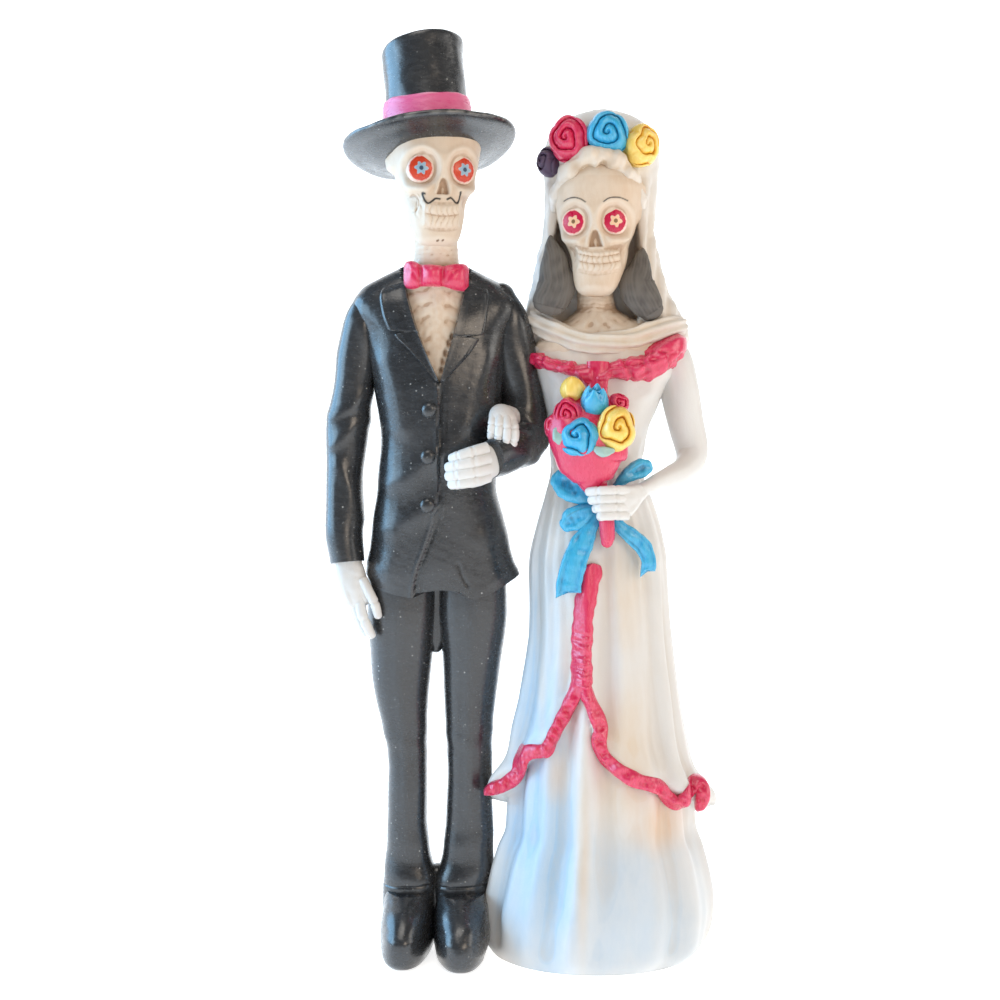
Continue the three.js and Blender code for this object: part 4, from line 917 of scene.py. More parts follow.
def bow_tie_grid():
    """Bow tie: ovals along x, tall at the lobes' ends, low beside the round knot left of the middle, with a
    soft slanting crease in each lobe."""
    rows = [
        [-7.9, 2.4, 1.0], [-7.3, 3.3, 1.8], [-5.9, 3.5, 2.6], [-4.6, 3.2, 2.5], [-3.7, 2.7, 1.8],
        [-2.8, 2.7, 2.9], [-1.0, 2.8, 3.6], [0.8, 2.7, 2.9], [1.7, 2.5, 1.8], [2.8, 2.8, 2.5],
        [4.8, 3.3, 2.9], [6.6, 3.4, 2.5], [7.4, 3.1, 1.7], [7.9, 2.3, 1.0],
    ]
    x = np.concatenate([[-7.92], np.linspace(-7.9, 7.9, 90), [7.92]])[:, None]
    tall, deep = columns(rows, x)
    a = circle(72)
    lift = tall * oval(np.sin(a), 2.7) + 0.18 - 0.05 * x
    back = 0.035 * x * x
    grid = np.stack([x + 0 * a, back + deep * oval(np.cos(a), 2.2), lift], -1)
    carve = 0.05 * wobble(grid, 5.0, 41)
    creases = (
        ([(2.6, -1.4), (3.6, 0.4), (5.4, 1.6)], 0.3),
        ([(-4.4, -0.9), (-5.4, 0.6), (-6.8, 1.4)], 0.25),
        ([(3.4, 1.9), (5.0, 2.4)], 0.15),
    )
    for crease, depth in creases:
        carve -= depth * bump(from_line(grid[..., 0], grid[..., 2], crease) / 0.5)
    return raised(grid, carve) + [-20.8, -8.6, 167.7]


def folded(grid, folds, depth, seed, spread=1.6):
    """Soft folds on a sleeve or leg: rounded ridges along given lines in (x, z) and a slow unevenness."""
    carve = 0.18 * wobble(grid * [1, 1, 0.5], 8.0, seed)
    for fold in folds:
        carve += depth * bump(from_line(grid[..., 0], grid[..., 2], fold) / spread)
    return raised(grid, carve)


TROUSERS_LEFT = [
    [12.0, -27.9, 0.4, 6.9, 6.6, 6.0, 2.2],
    [16.2, -27.9, 0.4, 6.8, 6.4, 6.2, 2.2],
    [22.0, -28.2, 0.6, 5.9, 5.9, 6.0, 2.2],
    [33.3, -28.6, 0.8, 5.0, 5.6, 5.8, 2.2],
    [44.8, -28.6, 0.8, 4.9, 5.6, 5.8, 2.2],
    [56.2, -29.3, 0.8, 5.8, 6.2, 6.2, 2.2],
    [71.5, -30.2, 0.6, 7.5, 7.2, 7.4, 2.2],
    [86.6, -29.8, 0.6, 8.6, 8.4, 8.6, 2.3],
    [98.0, -29.6, 0.6, 8.6, 8.6, 8.8, 2.3],
]
TROUSERS_RIGHT = [
    [12.0, -15.0, 0.0, 7.0, 6.6, 6.0, 2.2],
    [15.6, -14.9, 0.0, 7.0, 6.6, 6.2, 2.2],
    [22.0, -13.6, 0.2, 6.6, 6.2, 6.0, 2.2],
    [33.3, -12.9, 0.6, 5.9, 5.8, 5.8, 2.2],
    [44.8, -12.9, 0.6, 5.6, 5.8, 5.8, 2.2],
    [56.2, -13.0, 0.6, 6.0, 6.3, 6.2, 2.2],
    [71.5, -12.4, 0.6, 7.3, 7.2, 7.4, 2.2],
    [86.6, -12.0, 0.6, 8.8, 8.4, 8.6, 2.3],
    [98.0, -12.4, 0.6, 8.6, 8.6, 8.8, 2.3],
]


def trouser_grid(rows, seed):
    """Trouser leg: a loft with a soft pressed crease in front, folds that break over the shoe, and a thin
    line engraved above the hem."""

    def relief(angle, z):
        crease = 0.35 * bump((angle + pi / 2) / 0.2) * step(20, 44, z)
        breaks = 0.16 * np.cos(z / 1.6 + 1.6 * np.cos(angle + seed)) * step(34, 22, z) * step(15, 19, z)
        hem = 0.08 * step(16.4, 16.0, z) - 0.14 * bump((z - 16.6 - 0.25 * np.cos(angle)) / 0.2)
        knee = 0.12 * np.cos(z / 1.1 + 2 * angle) * bump((z - 53) / 4.5)
        return crease + breaks + hem + knee

    spans = ((9, 15, 8), (15.2, 18, 16), (18.6, 98, 80))
    heights = with_ends(np.concatenate([np.linspace(*span) for span in spans]), 0.02)
    grid = loft(rows, heights, angles(92, 0.2), relief)
    uneven = 0.12 * wobble(grid * [1, 1, 0.4], 10.0, seed + 50) + 0.012 * wobble(grid, 2.6, seed + 52)
    return raised(grid, uneven)


SHOE_ROWS = [
    [0.0, 0, 0, 0.80, 0.88, 0.90, 2.4],
    [0.03, 0, 0, 0.85, 0.915, 0.94, 2.4],
    [0.12, 0, 0, 0.93, 0.965, 0.98, 2.4],
    [0.28, 0, 0, 0.99, 0.995, 1.0, 2.3],
    [0.44, 0, 0, 1.0, 0.985, 0.97, 2.3],
    [0.6, 0, 0, 0.985, 0.92, 0.9, 2.2],
    [0.78, 0, 0, 0.95, 0.77, 0.84, 2.2],
    [0.92, 0, 0, 0.9, 0.58, 0.8, 2.1],
    [1.0, 0, 0, 0.86, 0.44, 0.78, 2.1],
]
SHOE_LENGTH = 29.0
SHOE_HEEL = 8.2
SHOE_HEIGHT = 15.0


def shoe_grid(x, y, turn, half):
    """Shoe: smooth ovals from the sole up, longer in front of the ankle than behind, drawn in under the
    toes, with a faint seam down the middle of the toe cap."""
    share = with_ends(np.linspace(0, 1, 60), 0.001)[:, None]
    _, _, wide, front, back, power = columns(SHOE_ROWS, share)
    a = angles(100, 0.25)[None, :]
    s = np.sin(a)
    deep = np.where(s > 0, back * SHOE_HEEL, front * (SHOE_LENGTH - SHOE_HEEL))
    slim = np.where(s > 0, 0.86, 1.0)
    z = np.clip(share, 0, 1) * SHOE_HEIGHT
    grid = np.stack([wide * half * slim * oval(np.cos(a), power), deep * oval(s, power), z + 0 * a], -1)
    carve = 0.1 * wobble(grid, 9.0, int(half * 10)) + 0.01 * wobble(grid, 2.6, int(half * 10) + 1)
    rim = [(-5.5, -3.0), (-3.0, -8.0), (0, -9.6), (3.0, -8.0), (5.5, -3.0)]
    tongue = from_line(grid[..., 0], grid[..., 1], rim)
    carve += -0.12 * bump(tongue / 0.3) * step(9, 11, grid[..., 2])
    carve *= step(0.3, 1.2, grid[..., 2])
    return turned_by(raised(grid, carve), z=turn) + [x, y, 0]


def finger(points, radius, across, joints=(0.36, 0.68), seed=1, taper=0.8):
    """Carved finger: a thin boxy tube, narrowing to its tip, with a fine engraved line at each joint."""
    count = len(points)
    slim = [1 - (1 - taper) * k / (count - 1) for k in range(count)]
    rows = [(*p, radius * size, radius * 0.95 * size) for p, size in zip(points, slim)]
    grid = limb(rows, 20, 38, across, power=2.3)
    t = np.clip(np.linspace(-0.02, 1.1, len(grid)), 0, 1)[:, None] + np.zeros((1, 20))
    carve = np.zeros(t.shape)
    for joint in joints:
        carve += 0.07 * radius * bump((t - joint) / 0.09) - 0.2 * radius * bump((t - joint) / 0.028)
    return raised(grid, carve + 0.02 * wobble(grid, 1.4, seed) * step(0, 0.1, t))


def palm(points, across, grooves, seed):
    """Back of a hand: a flat rounded limb with tendon grooves along it."""
    grid = limb(points, 50, 36, across, power=2.6)
    a = circle(50)
    t = course(len(grid))
    lines = 0.1 * np.cos(grooves * TURN * np.cos(a) / 2) * np.abs(np.sin(a)) * step(0.25, 0.6, t)
    return raised(grid, lines + 0.03 * wobble(grid, 2.2, seed))


class CoupleOperator:
    """What the couple's operators share: each builds its pieces in the current scene and can be undone."""

    bl_options = {"REGISTER", "UNDO"}

    def execute(self, context):
        self.build(context.scene)
        return {"FINISHED"}


class COUPLE_OT_groom_hat(CoupleOperator, bpy.types.Operator):
    """Top hat: one turned profile from the underside of the brim over its edge and up the crown, its two
    sides curled up by (|x| / radius)^1.5, tipped back; and a ribbon round the crown"""

    bl_idname = "couple.groom_hat"
    bl_label = "Groom's hat"

    def build(self, scene):
        s = scene.couple_sizes
        brim, crown, high = mm(s.brim_radius), mm(s.crown_radius), mm(s.crown_height)
        profile = [
            (0, -1.6), (8, -2.2), (11, -2.7), (0.66 * brim, -2.1), (0.8 * brim, -1.3), (0.93 * brim, -0.8),
            (0.985 * brim, -0.4), (brim, 0.15), (0.988 * brim, 0.75), (0.95 * brim, 0.98),
            (0.75 * brim, 0.95), (1.18 * crown, 1.15), (1.04 * crown, 1.9), (1.0 * crown, 4.2),
            (0.985 * crown, 0.4 * high), (0.972 * crown, 0.62 * high), (0.975 * crown, 0.86 * high),
            (0.985 * crown, 0.965 * high), (0.975 * crown, 0.988 * high), (0.945 * crown, high),
            (0.86 * crown, 0.995 * high), (0.8 * crown, 0.985 * high), (0, 0.98 * high),
        ]
        grid = turned(profile, 132, 170)
        curl = BRIM_CURL * (np.maximum(0, np.abs(grid[..., 0]) / brim - 0.6) / 0.4) ** 1.5
        grid[..., 2] += curl
        radius = np.hypot(grid[..., 0], grid[..., 1])
        under = step(0.2, -0.4, grid[..., 2] - curl)
        uneven = (0.08 * wobble(grid, 9.0, 3) + 0.012 * wobble(grid, 2.2, 4)) * (1 - 0.8 * under)
        grid = raised(grid, uneven * step(0, 2, radius))
        above = step(1.6, 3.0, grid[..., 2] - curl)
        grid[..., 0] += above * grid[..., 2] * np.sin(radians(CROWN_LEAN))
        grid[..., 2] += above * 0.085 * grid[..., 0] * step(3, high, grid[..., 2])
        # Pale ragged line along the front of the brim's edge: chips in the paint and a painted highlight on
        # the edge
        ragged = step(-0.1, 0.5, wobble(grid, 2.4, 6) + 0.5 * wobble(grid, 0.9, 7))
        chips_and_edge_highlight = 0.4 * bump((radius - brim + 0.05) / 0.2) * ragged * step(-4, -9, grid[..., 1])
        make_piece("groom_hat", [on_head(grid)], black(), rim=[chips_and_edge_highlight])
        foot, top = 0.8, 1.1 + mm(s.band_height)
        line = [(0.9 * crown, foot), (crown + 1.15, foot), (crown + 1.05, foot + 1.4),
                (crown + 0.7, top - 3.0), (crown + 0.45, top - 0.5), (crown + 0.3, top - 0.1),
                (crown + 0.1, top), (0.9 * crown, top)]
        band = turned(line, 120, 36)
        turn = np.arctan2(band[..., 1], band[..., 0])
        waves = 0.06 * np.cos(8 * turn) - 0.5 + 1.7 * np.cos(turn) ** 2 - 0.3 * np.cos(turn)
        band[..., 2] += step(foot + 3, top, band[..., 2]) * waves
        band = raised(band, 0.05 * wobble(band * [1, 1, 2.4], 3.0, 9))
        band[..., 0] += band[..., 2] * np.sin(radians(CROWN_LEAN))
        lip = bump((band[..., 2] - top - waves + 0.12) / 0.14) * step(-0.5, 0.5, wobble(band, 3.0, 10))
        make_piece("groom_hat_band", [on_head(band)], hat_pink(), rim=[0.6 * lip])


class COUPLE_OT_groom_head(CoupleOperator, bpy.types.Operator):
    """Groom's skull with its painted moustache, and his orange-red eyes with pale blue stars"""

    bl_idname = "couple.groom_head"
    bl_label = "Groom's head"

    def build(self, scene):
        left = even([(-1.2, -7.3), (-2.2, -7.2), (-3.0, -7.8), (-3.95, -8.4), (-4.65, -7.8), (-5.05, -6.6),
                     (-4.95, -5.9), (-4.55, -6.1)], 26)
        right = even([(0.65, -7.3), (1.5, -6.9), (2.1, -7.3), (3.0, -8.1), (3.8, -7.3), (3.9, -6.3),
                      (3.75, -5.5)], 26)
        marks = [
            (left, 0.24, INK),
            (right, 0.24, INK),
            ([(-1.6, -17.0), (-1.35, -16.9)], 0.22, DARK_BROWN),
            ([(-0.35, -16.9), (-0.15, -16.8)], 0.2, DARK_BROWN),
        ]
        slide = [[-18.6, -0.7], [-8.5, -0.7], [-4.0, 0.0], [17.0, 0.0]]
        rise, tip = np.tan(radians(-HAT_LEAN)), np.tan(radians(HAT_TIP_BACK))
        skull("groom_skull", GROOM_HEAD, GROOM_TURN, 1.0, slide, (-0.1, 1.45, -5.9, -2.2),
              (-8.8, -11.3, -14.1), (0.1, 4.1, -8.7, -14.2), marks, 0.3,
              lambda x, y: HAT_SEAT[2] + rise * (x - HAT_SEAT[0]) + tip * (y - HAT_SEAT[1]))
        eyes("groom_eyes", GROOM_HEAD, GROOM_TURN, 1.0, tuple(colours().groom_eye),
             (0.28, 0.42, 0.52), (0.03, 0.06, 0.11), 6, (-0.1, 0.2))


class COUPLE_OT_groom_body(CoupleOperator, bpy.types.Operator):
    """Groom's chest and neck, coat with lapels and buttons, bow tie, sleeves, trousers and shoes"""

    bl_idname = "couple.groom_body"
    bl_label = "Groom's body and clothes"

    def build(self, scene):
        s = scene.couple_sizes
        chest = loft(CHEST, np.linspace(141, 179, 120), angles(110, 0.4))
        chest = raised(chest, chest_relief(chest[..., 0], chest[..., 2], chest))
        make_piece("groom_chest", [chest], bone())
        coat = coat_grid()
        make_piece("groom_coat", [coat], black(), reach=(2, 6))
        plain = loft(COAT, np.linspace(COAT_LOW, COAT[-1][0], 120), angles(240, 0.3))
        cloth = front_map(plain, -44, 2)
        make_piece("groom_lapels", [lapel_grid(-1, cloth), lapel_grid(1, cloth)], black())
        radius = mm(s.button_radius)
        profile = [(0, -2.4), (radius, -2.4), (1.02 * radius, -0.1), (0.97 * radius, 0.35),
                   (0.8 * radius, 0.8), (0.5 * radius, 1.12), (0, 1.22)]
        discs = []
        for x, z in ((-22.3, 135.3), (-22.6, 124.0), (-22.8, 112.2)):
            disc = turned_by(turned(profile, 32, 26), x=90)
            discs.append(disc + [x, float(cloth(x, z)) - 0.75, z])
        make_piece("groom_buttons", discs, black())
        tie = bow_tie_grid()
        back = step(-0.35, 0.1, normals(tie)[..., 1])
        make_piece("groom_bow_tie", [tie], pink(), rim=[0.85 * back])
        hanging = limb([
            (-36.6, 0.8, 163.0, 4.0, 5.2), (-39.0, 0.8, 157.0, 5.0, 6.1), (-40.6, 0.8, 150.0, 5.2, 6.1),
            (-41.6, 0.8, 143.0, 5.0, 6.0), (-43.4, 0.8, 132.0, 5.3, 6.0), (-44.0, -0.4, 118.0, 4.6, 5.4),
            (-44.1, -2.0, 106.0, 4.7, 5.4), (-43.3, -3.1, 97.6, 4.3, 4.9),
        ], 70, 100, power=2.15, start="round", end="flat")
        bent = limb([
            (-5.6, 0.8, 163.0, 3.8, 5.2), (-3.2, 0.8, 157.0, 4.8, 6.1), (-1.8, 0.6, 150.0, 5.2, 6.0),
            (-0.6, 0.4, 143.0, 5.2, 5.8), (0.9, 0.0, 135.0, 5.6, 5.6), (1.4, -2.6, 128.6, 5.2, 5.0),
            (-2.2, -9.6, 125.4, 4.7, 5.0), (-7.4, -14.4, 123.6, 4.0, 5.4),
        ], 70, 100, across=(0.9, 0.44, 0), power=2.15, start="round", end="flat")
        hanging = folded(hanging, [
            [(-38, 140), (-42, 136), (-47, 134)], [(-38.5, 133), (-42, 131), (-46, 127)],
            [(-45, 122), (-42, 116), (-40, 108)], [(-39, 156), (-37.5, 150), (-37, 144)],
        ], 0.45, 61)
        bent = folded(bent, [
            [(-5, 136), (0, 134), (5, 131)], [(-4, 131), (1, 130), (6, 127)], [(-3, 127), (2, 124), (5, 122)],
            [(-4.4, 156), (-5.2, 148), (-5.6, 141)],
        ], 0.45, 62)
        make_piece("groom_sleeves", [hanging, bent], black(), reach=(2, 6))
        seat = limb([(-21.3, 0.6, 76.0, 1.5, 2.0), (-21.2, 0.6, 80.0, 3.4, 2.6),
                     (-21.0, 0.6, 97.0, 5.0, 3.4)], 48, 30, start="round", end="flat")
        foot = limb([(-21.2, 0.6, 9.0, 4.0, 4.6), (-21.1, 1.0, 15.0, 3.6, 4.2), (-21.0, 1.4, 18.0, 2.6, 3.2)],
                    40, 26)
        legs = [trouser_grid(TROUSERS_LEFT, 1), trouser_grid(TROUSERS_RIGHT, 2), seat, foot]
        make_piece("groom_trousers", legs, black(), reach=(2, 6))
        shoes = [shoe_grid(-27.9, 0.2, -4, 6.8), shoe_grid(-14.8, -1.8, 0, 7.1)]
        make_piece("groom_shoes", shoes, black(), reach=(2, 6))


class COUPLE_OT_groom_hands(CoupleOperator, bpy.types.Operator):
    """Groom's hands: the right one hangs with its thumb apart, the left one lies across the bride's arm"""

    bl_idname = "couple.groom_hands"
    bl_label = "Groom's hands"

    def build(self, scene):
        down, level = (0.95, 0.0, 0.3), (0.1, 0, -1)
        grids = [
            palm([(-43.2, -3.4, 98.6, 3.1, 2.6), (-42.2, -4.2, 94.6, 3.6, 2.4), (-41.0, -5.0, 91.0, 3.6, 2.3),
                  (-40.3, -5.4, 88.4, 3.1, 2.0)], down, 3, 71),
            finger([(-41.9, -3.8, 88.8), (-41.3, -4.2, 85.4), (-40.2, -4.3, 82.6), (-39.4, -4.2, 81.0)],
                   1.05, down, seed=80),
            finger([(-41.3, -5.2, 88.4), (-40.5, -5.8, 85.0), (-39.2, -6.0, 81.8), (-38.3, -5.8, 80.2)],
                   1.15, down, seed=81),
            finger([(-39.9, -6.0, 89.2), (-39.2, -7.0, 85.2), (-37.7, -7.4, 81.6), (-37.0, -7.1, 80.1)], 1.4,
                   down, (0.4,), 82),
            finger([(-39.2, -5.8, 93.6), (-37.5, -7.1, 90.6), (-36.0, -7.6, 87.6), (-35.3, -7.6, 85.0)], 1.3,
                   (0.7, 0.6, 0.3), (0.55,), 85),
            palm([(-6.2, -13.2, 123.4, 3.4, 2.6), (-8.6, -14.6, 122.8, 4.3, 2.7),
                  (-11.0, -15.8, 121.9, 4.9, 2.4), (-13.4, -16.2, 121.0, 4.6, 1.8)], level, 3, 72),
        ]
        for k, line in enumerate((
            [(-8.4, -15.9, 126.2), (-11.6, -17.6, 125.3), (-14.4, -17.8, 124.4), (-16.4, -16.6, 123.7)],
            [(-7.8, -16.1, 123.8), (-11.4, -18.0, 122.9), (-14.8, -18.1, 122.2), (-17.3, -16.6, 121.6)],
            [(-7.6, -16.1, 121.4), (-11.2, -17.9, 120.6), (-14.8, -18.1, 120.0), (-17.3, -16.6, 119.5)],
            [(-8.0, -15.6, 119.4), (-11.2, -17.3, 118.4), (-14.4, -17.6, 117.9), (-16.6, -16.4, 117.6)],
        )):
            grids.append(finger(line, 1.5, level, (0.3, 0.66), 90 + k, 0.9))
        make_piece("groom_hands", grids, hand(), reach=(2, 4))


# Bride

GOWN = [
    [0.0, 18.2, 0.4, 25.9, 22.0, 21.6, 2.1],
    [3.0, 19.0, 0.4, 27.6, 23.0, 22.6, 2.1],
    [10.2, 19.6, 0.4, 28.2, 23.4, 23.0, 2.1],
    [18.0, 20.0, 0.3, 27.0, 22.4, 22.0, 2.1],
    [25.6, 20.0, 0.2, 25.0, 20.6, 20.4, 2.1],
    [31.0, 20.1, 0.1, 23.0, 19.6, 19.4, 2.1],
    [41.0, 20.0, 0.0, 22.4, 18.8, 18.6, 2.1],
    [48.6, 19.7, 0.0, 21.2, 18.0, 17.8, 2.1],
    [56.2, 19.5, 0.0, 20.0, 17.2, 17.0, 2.1],
    [63.9, 19.7, 0.0, 18.7, 16.4, 16.2, 2.1],
    [75.3, 19.7, 0.0, 17.5, 15.4, 15.2, 2.1],
    [86.6, 19.5, 0.0, 17.0, 14.6, 14.4, 2.1],
    [98.0, 19.2, 0.0, 16.9, 13.8, 13.8, 2.1],
    [105.5, 19.2, 0.0, 15.6, 12.8, 12.8, 2.1],
    [113.0, 19.0, 0.0, 13.4, 11.2, 11.0, 2.1],
    [118.6, 18.7, 0.0, 11.7, 9.8, 9.2, 2.1],
    [121.0, 18.6, 0.0, 11.3, 9.4, 8.8, 2.1],
]
TIP_LEFT = 37.0
TIP_RIGHT = 35.5
HEM = [
    [-pi, TIP_LEFT],
    [-0.9 * pi, 42],
    [-0.8 * pi, 50],
    [-0.7 * pi, 55.5],
    [-0.58 * pi, 68],
    [-0.52 * pi, 55.5],
    [-0.4 * pi, 46.4],
    [-0.314 * pi, 45],
    [-0.2 * pi, 41],
    [0.0, TIP_RIGHT],
]


def hem_height(angle):
    """Height of the overskirt's hem round the gown: through the HEM rows in front, and behind a straight
    run between the two tips raised by 5 sin(angle)."""
    around = np.mod(angle + pi, TURN) - pi
    front = curve(HEM, np.minimum(around, 0))[..., 0]
    behind = TIP_RIGHT + (TIP_LEFT - TIP_RIGHT) * around / pi + 5 * np.sin(around)
    return np.where(around <= 0, front, behind)


def gown_relief(angle, z):
    """Folds as two cosine waves, deeper low down; above the hem the overskirt stands proud, flares at its
    edge and most at the two tips."""
    hem = hem_height(angle)
    over = step(hem - 0.9, hem + 0.3, z)
    low = step(112, 40, z)
    drift = 0.35 * np.sin(0.05 * z + 2 * angle)
    folds = np.cos(11 * angle + 0.8 + drift) + 0.6 * np.cos(17 * angle - 0.02 * z)
    fine = 0.35 * np.cos(31 * angle + 0.06 * z) * step(60, 100, z)
    tips = 3.4 * bump(0, (z - hem - 2) / 7) * np.abs(np.cos(angle)) ** 10 * step(hem + 14, hem + 2, z)
    edge = 1.1 * bump(0, (z - hem - 1.5) / 5)
    depth = mm(sizes().fold_depth) * (0.3 + 0.7 * low)
    under = 0.25 * (1 - over) * np.cos(15 * angle + 1.5) * step(3, 22, z)
    return (depth * (folds + fine) + over * (1.2 * low + tips + edge) + under) * step(-1, 6, z)


BODICE = [
    [116.0, 18.7, 0.0, 11.8, 9.8, 9.2, 2.1],
    [120.5, 18.5, 0.0, 11.3, 9.4, 8.6, 2.1],
    [128.0, 19.0, 0.0, 12.0, 10.0, 8.6, 2.1],
    [134.0, 19.6, 0.0, 13.4, 10.8, 8.8, 2.1],
    [141.0, 20.4, 0.2, 15.6, 10.6, 9.4, 2.2],
    [147.0, 21.0, 0.6, 18.0, 9.6, 9.6, 2.3],
    [151.5, 21.0, 1.0, 17.6, 8.4, 9.2, 2.3],
    [155.0, 20.6, 1.4, 14.2, 7.4, 8.4, 2.2],
    [158.4, 19.6, 1.2, 8.0, 6.2, 6.8, 2.1],
    [161.0, 18.8, 0.6, 4.8, 5.0, 5.0, 2.0],
    [170.0, 18.0, -0.6, 4.1, 4.4, 4.6, 2.0],
]
RUFFLE = [
    [142.0, 20.6, 0.2, 16.0, 10.0, 9.0, 2.2],
    [143.0, 20.8, 0.2, 18.6, 12.2, 10.8, 2.3],
    [146.0, 21.2, 0.4, 20.0, 12.5, 11.4, 2.4],
    [148.8, 21.4, 0.6, 19.8, 11.7, 11.0, 2.4],
    [150.2, 21.4, 0.8, 18.0, 9.8, 9.8, 2.3],
]
RUFFLE_LINE = [
    [1.0, 148.4, 2.2], [4.0, 147.7, 1.9], [7.0, 146.8, 1.7], [10.4, 145.9, 1.7], [12.9, 145.4, 1.75],
    [16.0, 143.9, 2.9], [19.0, 143.8, 2.9], [21.4, 144.9, 2.2], [23.8, 145.1, 2.5], [27.4, 145.3, 2.9],
    [30.4, 145.8, 3.4], [33.0, 147.3, 3.9], [36.0, 148.8, 4.2], [39.0, 150.2, 4.2], [41.5, 150.6, 3.6],
    [43.0, 150.4, 3.0],
]
VEIL = [
    [124.0, 19.6, 9.0, 8.0, 1.5, 1.4, 2.4],
    [128.0, 19.8, 8.6, 10.8, 2.6, 2.6, 2.6],
    [138.0, 20.2, 8.0, 14.6, 4.0, 4.0, 2.8],
    [148.0, 21.2, 6.4, 19.6, 6.0, 6.4, 2.8],
    [154.5, 21.3, 5.2, 21.0, 8.6, 8.6, 2.6],
    [158.2, 21.0, 4.8, 20.0, 8.8, 9.6, 2.5],
    [165.7, 19.8, 4.6, 17.0, 8.4, 10.4, 2.4],
    [173.3, 19.5, 4.6, 15.2, 8.2, 11.0, 2.4],
    [181.0, 19.6, 4.6, 13.6, 8.4, 11.6, 2.3],
    [190.0, 20.1, 4.4, 13.8, 8.6, 12.0, 2.2],
    [199.0, 20.2, 4.2, 14.2, 9.6, 11.8, 2.2],
    [205.0, 20.3, 4.4, 12.4, 9.4, 10.4, 2.1],
    [208.6, 20.5, 4.8, 7.8, 6.4, 7.0, 2.0],
    [210.4, 20.6, 5.2, 2.4, 2.2, 2.4, 2.0],
]


def rose(radius, seed, deep=0.95, turns=2.3, wide=(1.0, 1.0), lift=0.26):
    """Rose facing +z: a dome with one spiral of broad rounded petals, |sin(pi phase)|^0.65, whose phase is
    turns r + angle / 2 pi with a slow waver, each petal steeper on its inner side."""
    start = np.random.default_rng(seed).uniform(0, TURN)
    a = circle(92)
    r = np.linspace(1.0, 0.006, 52)[:, None]
    edge = 0.92 + 0.08 * np.abs(np.cos(2.5 * (a - start))) ** 0.6
    x, y = r * edge * np.cos(a), r * edge * np.sin(a)
    phase = turns * r + a / TURN + 0.2 * np.sin(3 * a + start) * r + 0.12 * np.sin(5 * a - start) * r**2
    inner = np.mod(phase, 1.0)
    petal = np.sin(pi * inner**0.75) ** 0.6
    high = -0.25 + 0.72 * np.sqrt(np.maximum(1 - 0.93 * r**2, 0)) + lift * (petal - 0.35) * step(0, 0.12, r)
    top = np.stack([radius * wide[0] * x, radius * wide[1] * y, radius * deep * high], -1)
    share = course(7)
    foot = top[:1].repeat(7, 0).copy()
    foot[..., :2] *= (0.8 + 0.2 * share**0.5)[..., None]
    foot[..., 2] = -0.75 * radius * deep + share * (foot[..., 2] + 0.75 * radius * deep) * 0.96
    grid = np.concatenate([foot, top])
    mask = np.zeros(grid.shape[:2])
    mask[:3] = 1
    return grid, mask


def bud(radius, tall, seed, petals=3, mouth=0.0):
    """Closed bud or tulip upright along z: an egg whose petals overlap as waves round it, with a dished
    mouth at the top where mouth is above 0."""
    t = course(48)
    a = circle(64)
    around = np.sin(pi * np.clip(t * (1 - 0.22 * mouth) + 0.02, 0, 1)) ** 0.62
    wrap = np.mod(petals * (a / TURN + 0.12 * t) + seed * 0.3, 1.0)
    ridge = 0.1 * (1 - wrap) ** 2 * step(0, 0.08, wrap)
    r = radius * np.maximum(around, 0.02) * (1 + ridge * step(0, 0.3, t) * step(1.0, 0.75, t))
    z = tall * (t - 0.5) * 2 + mouth * 0.25 * tall * np.cos(petals * a + seed) * step(0.6, 1.0, t)
    grid = np.stack([r * np.cos(a), r * np.sin(a), z], -1)
    if mouth:
        dish = grid[-1:].repeat(12, 0).copy()
        share = np.linspace(0.94, 0.03, 12)[:, None]
        dish[..., 0] *= share
        dish[..., 1] *= share
        dish[..., 2] -= 0.5 * tall * mouth * (1 - share**2)
        grid = np.concatenate([grid, dish])
    return grid


def leaf_shape(points, dish, across, sides=48, steps=56):
    """Flat teardrop: a limb of flat ovals whose front is dished between its two raised edges."""
    grid = limb(points, sides, steps, across, power=2.3, start="round")
    a = circle(sides)
    t = course(len(grid))
    hollow = dish * bump(np.cos(a) / 0.55) * bump((t - 0.66) / 0.24)
    facing = step(0.1, 0.5, -normals(grid)[..., 1])
    return raised(grid, -hollow * facing + 0.06 * wobble(grid, 2.0, 12))


class COUPLE_OT_bride_head(CoupleOperator, bpy.types.Operator):
    """Bride's skull with thin painted brows, and her crimson eyes with peach stars"""

    bl_idname = "couple.bride_head"
    bl_label = "Bride's head"

    def build(self, scene):
        left = even([(-7.9, 5.5), (-6.6, 6.0), (-5.0, 6.1), (-3.4, 5.6), (-2.2, 4.8)], 22)
        right = even([(2.4, 4.8), (3.5, 5.6), (4.7, 5.9), (6.4, 5.9), (8.2, 5.3)], 22)
        marks = [(left, 0.15, INK), (right, 0.15, INK)]
        slide = [[-18.6, 0.0], [-16.0, 0.1], [-9.5, 0.7], [-4.0, 0.0], [17.0, 0.0]]
        skull("bride_skull", BRIDE_HEAD, BRIDE_TURN, BRIDE_SCALE, slide, (0.2, 1.75, -6.3, -2.3),
              (-7.9, -9.0, -10.8, -12.8), (0.6, 5.2, -7.7, -13.0), marks, 0.1, lambda x, y: 200 + 0 * x)
        eyes("bride_eyes", BRIDE_HEAD, BRIDE_TURN, BRIDE_SCALE, tuple(colours().bride_eye),
             (0.8, 0.5, 0.3), (0.2, 0.1, 0.04), 5, (-0.2, 0.1))


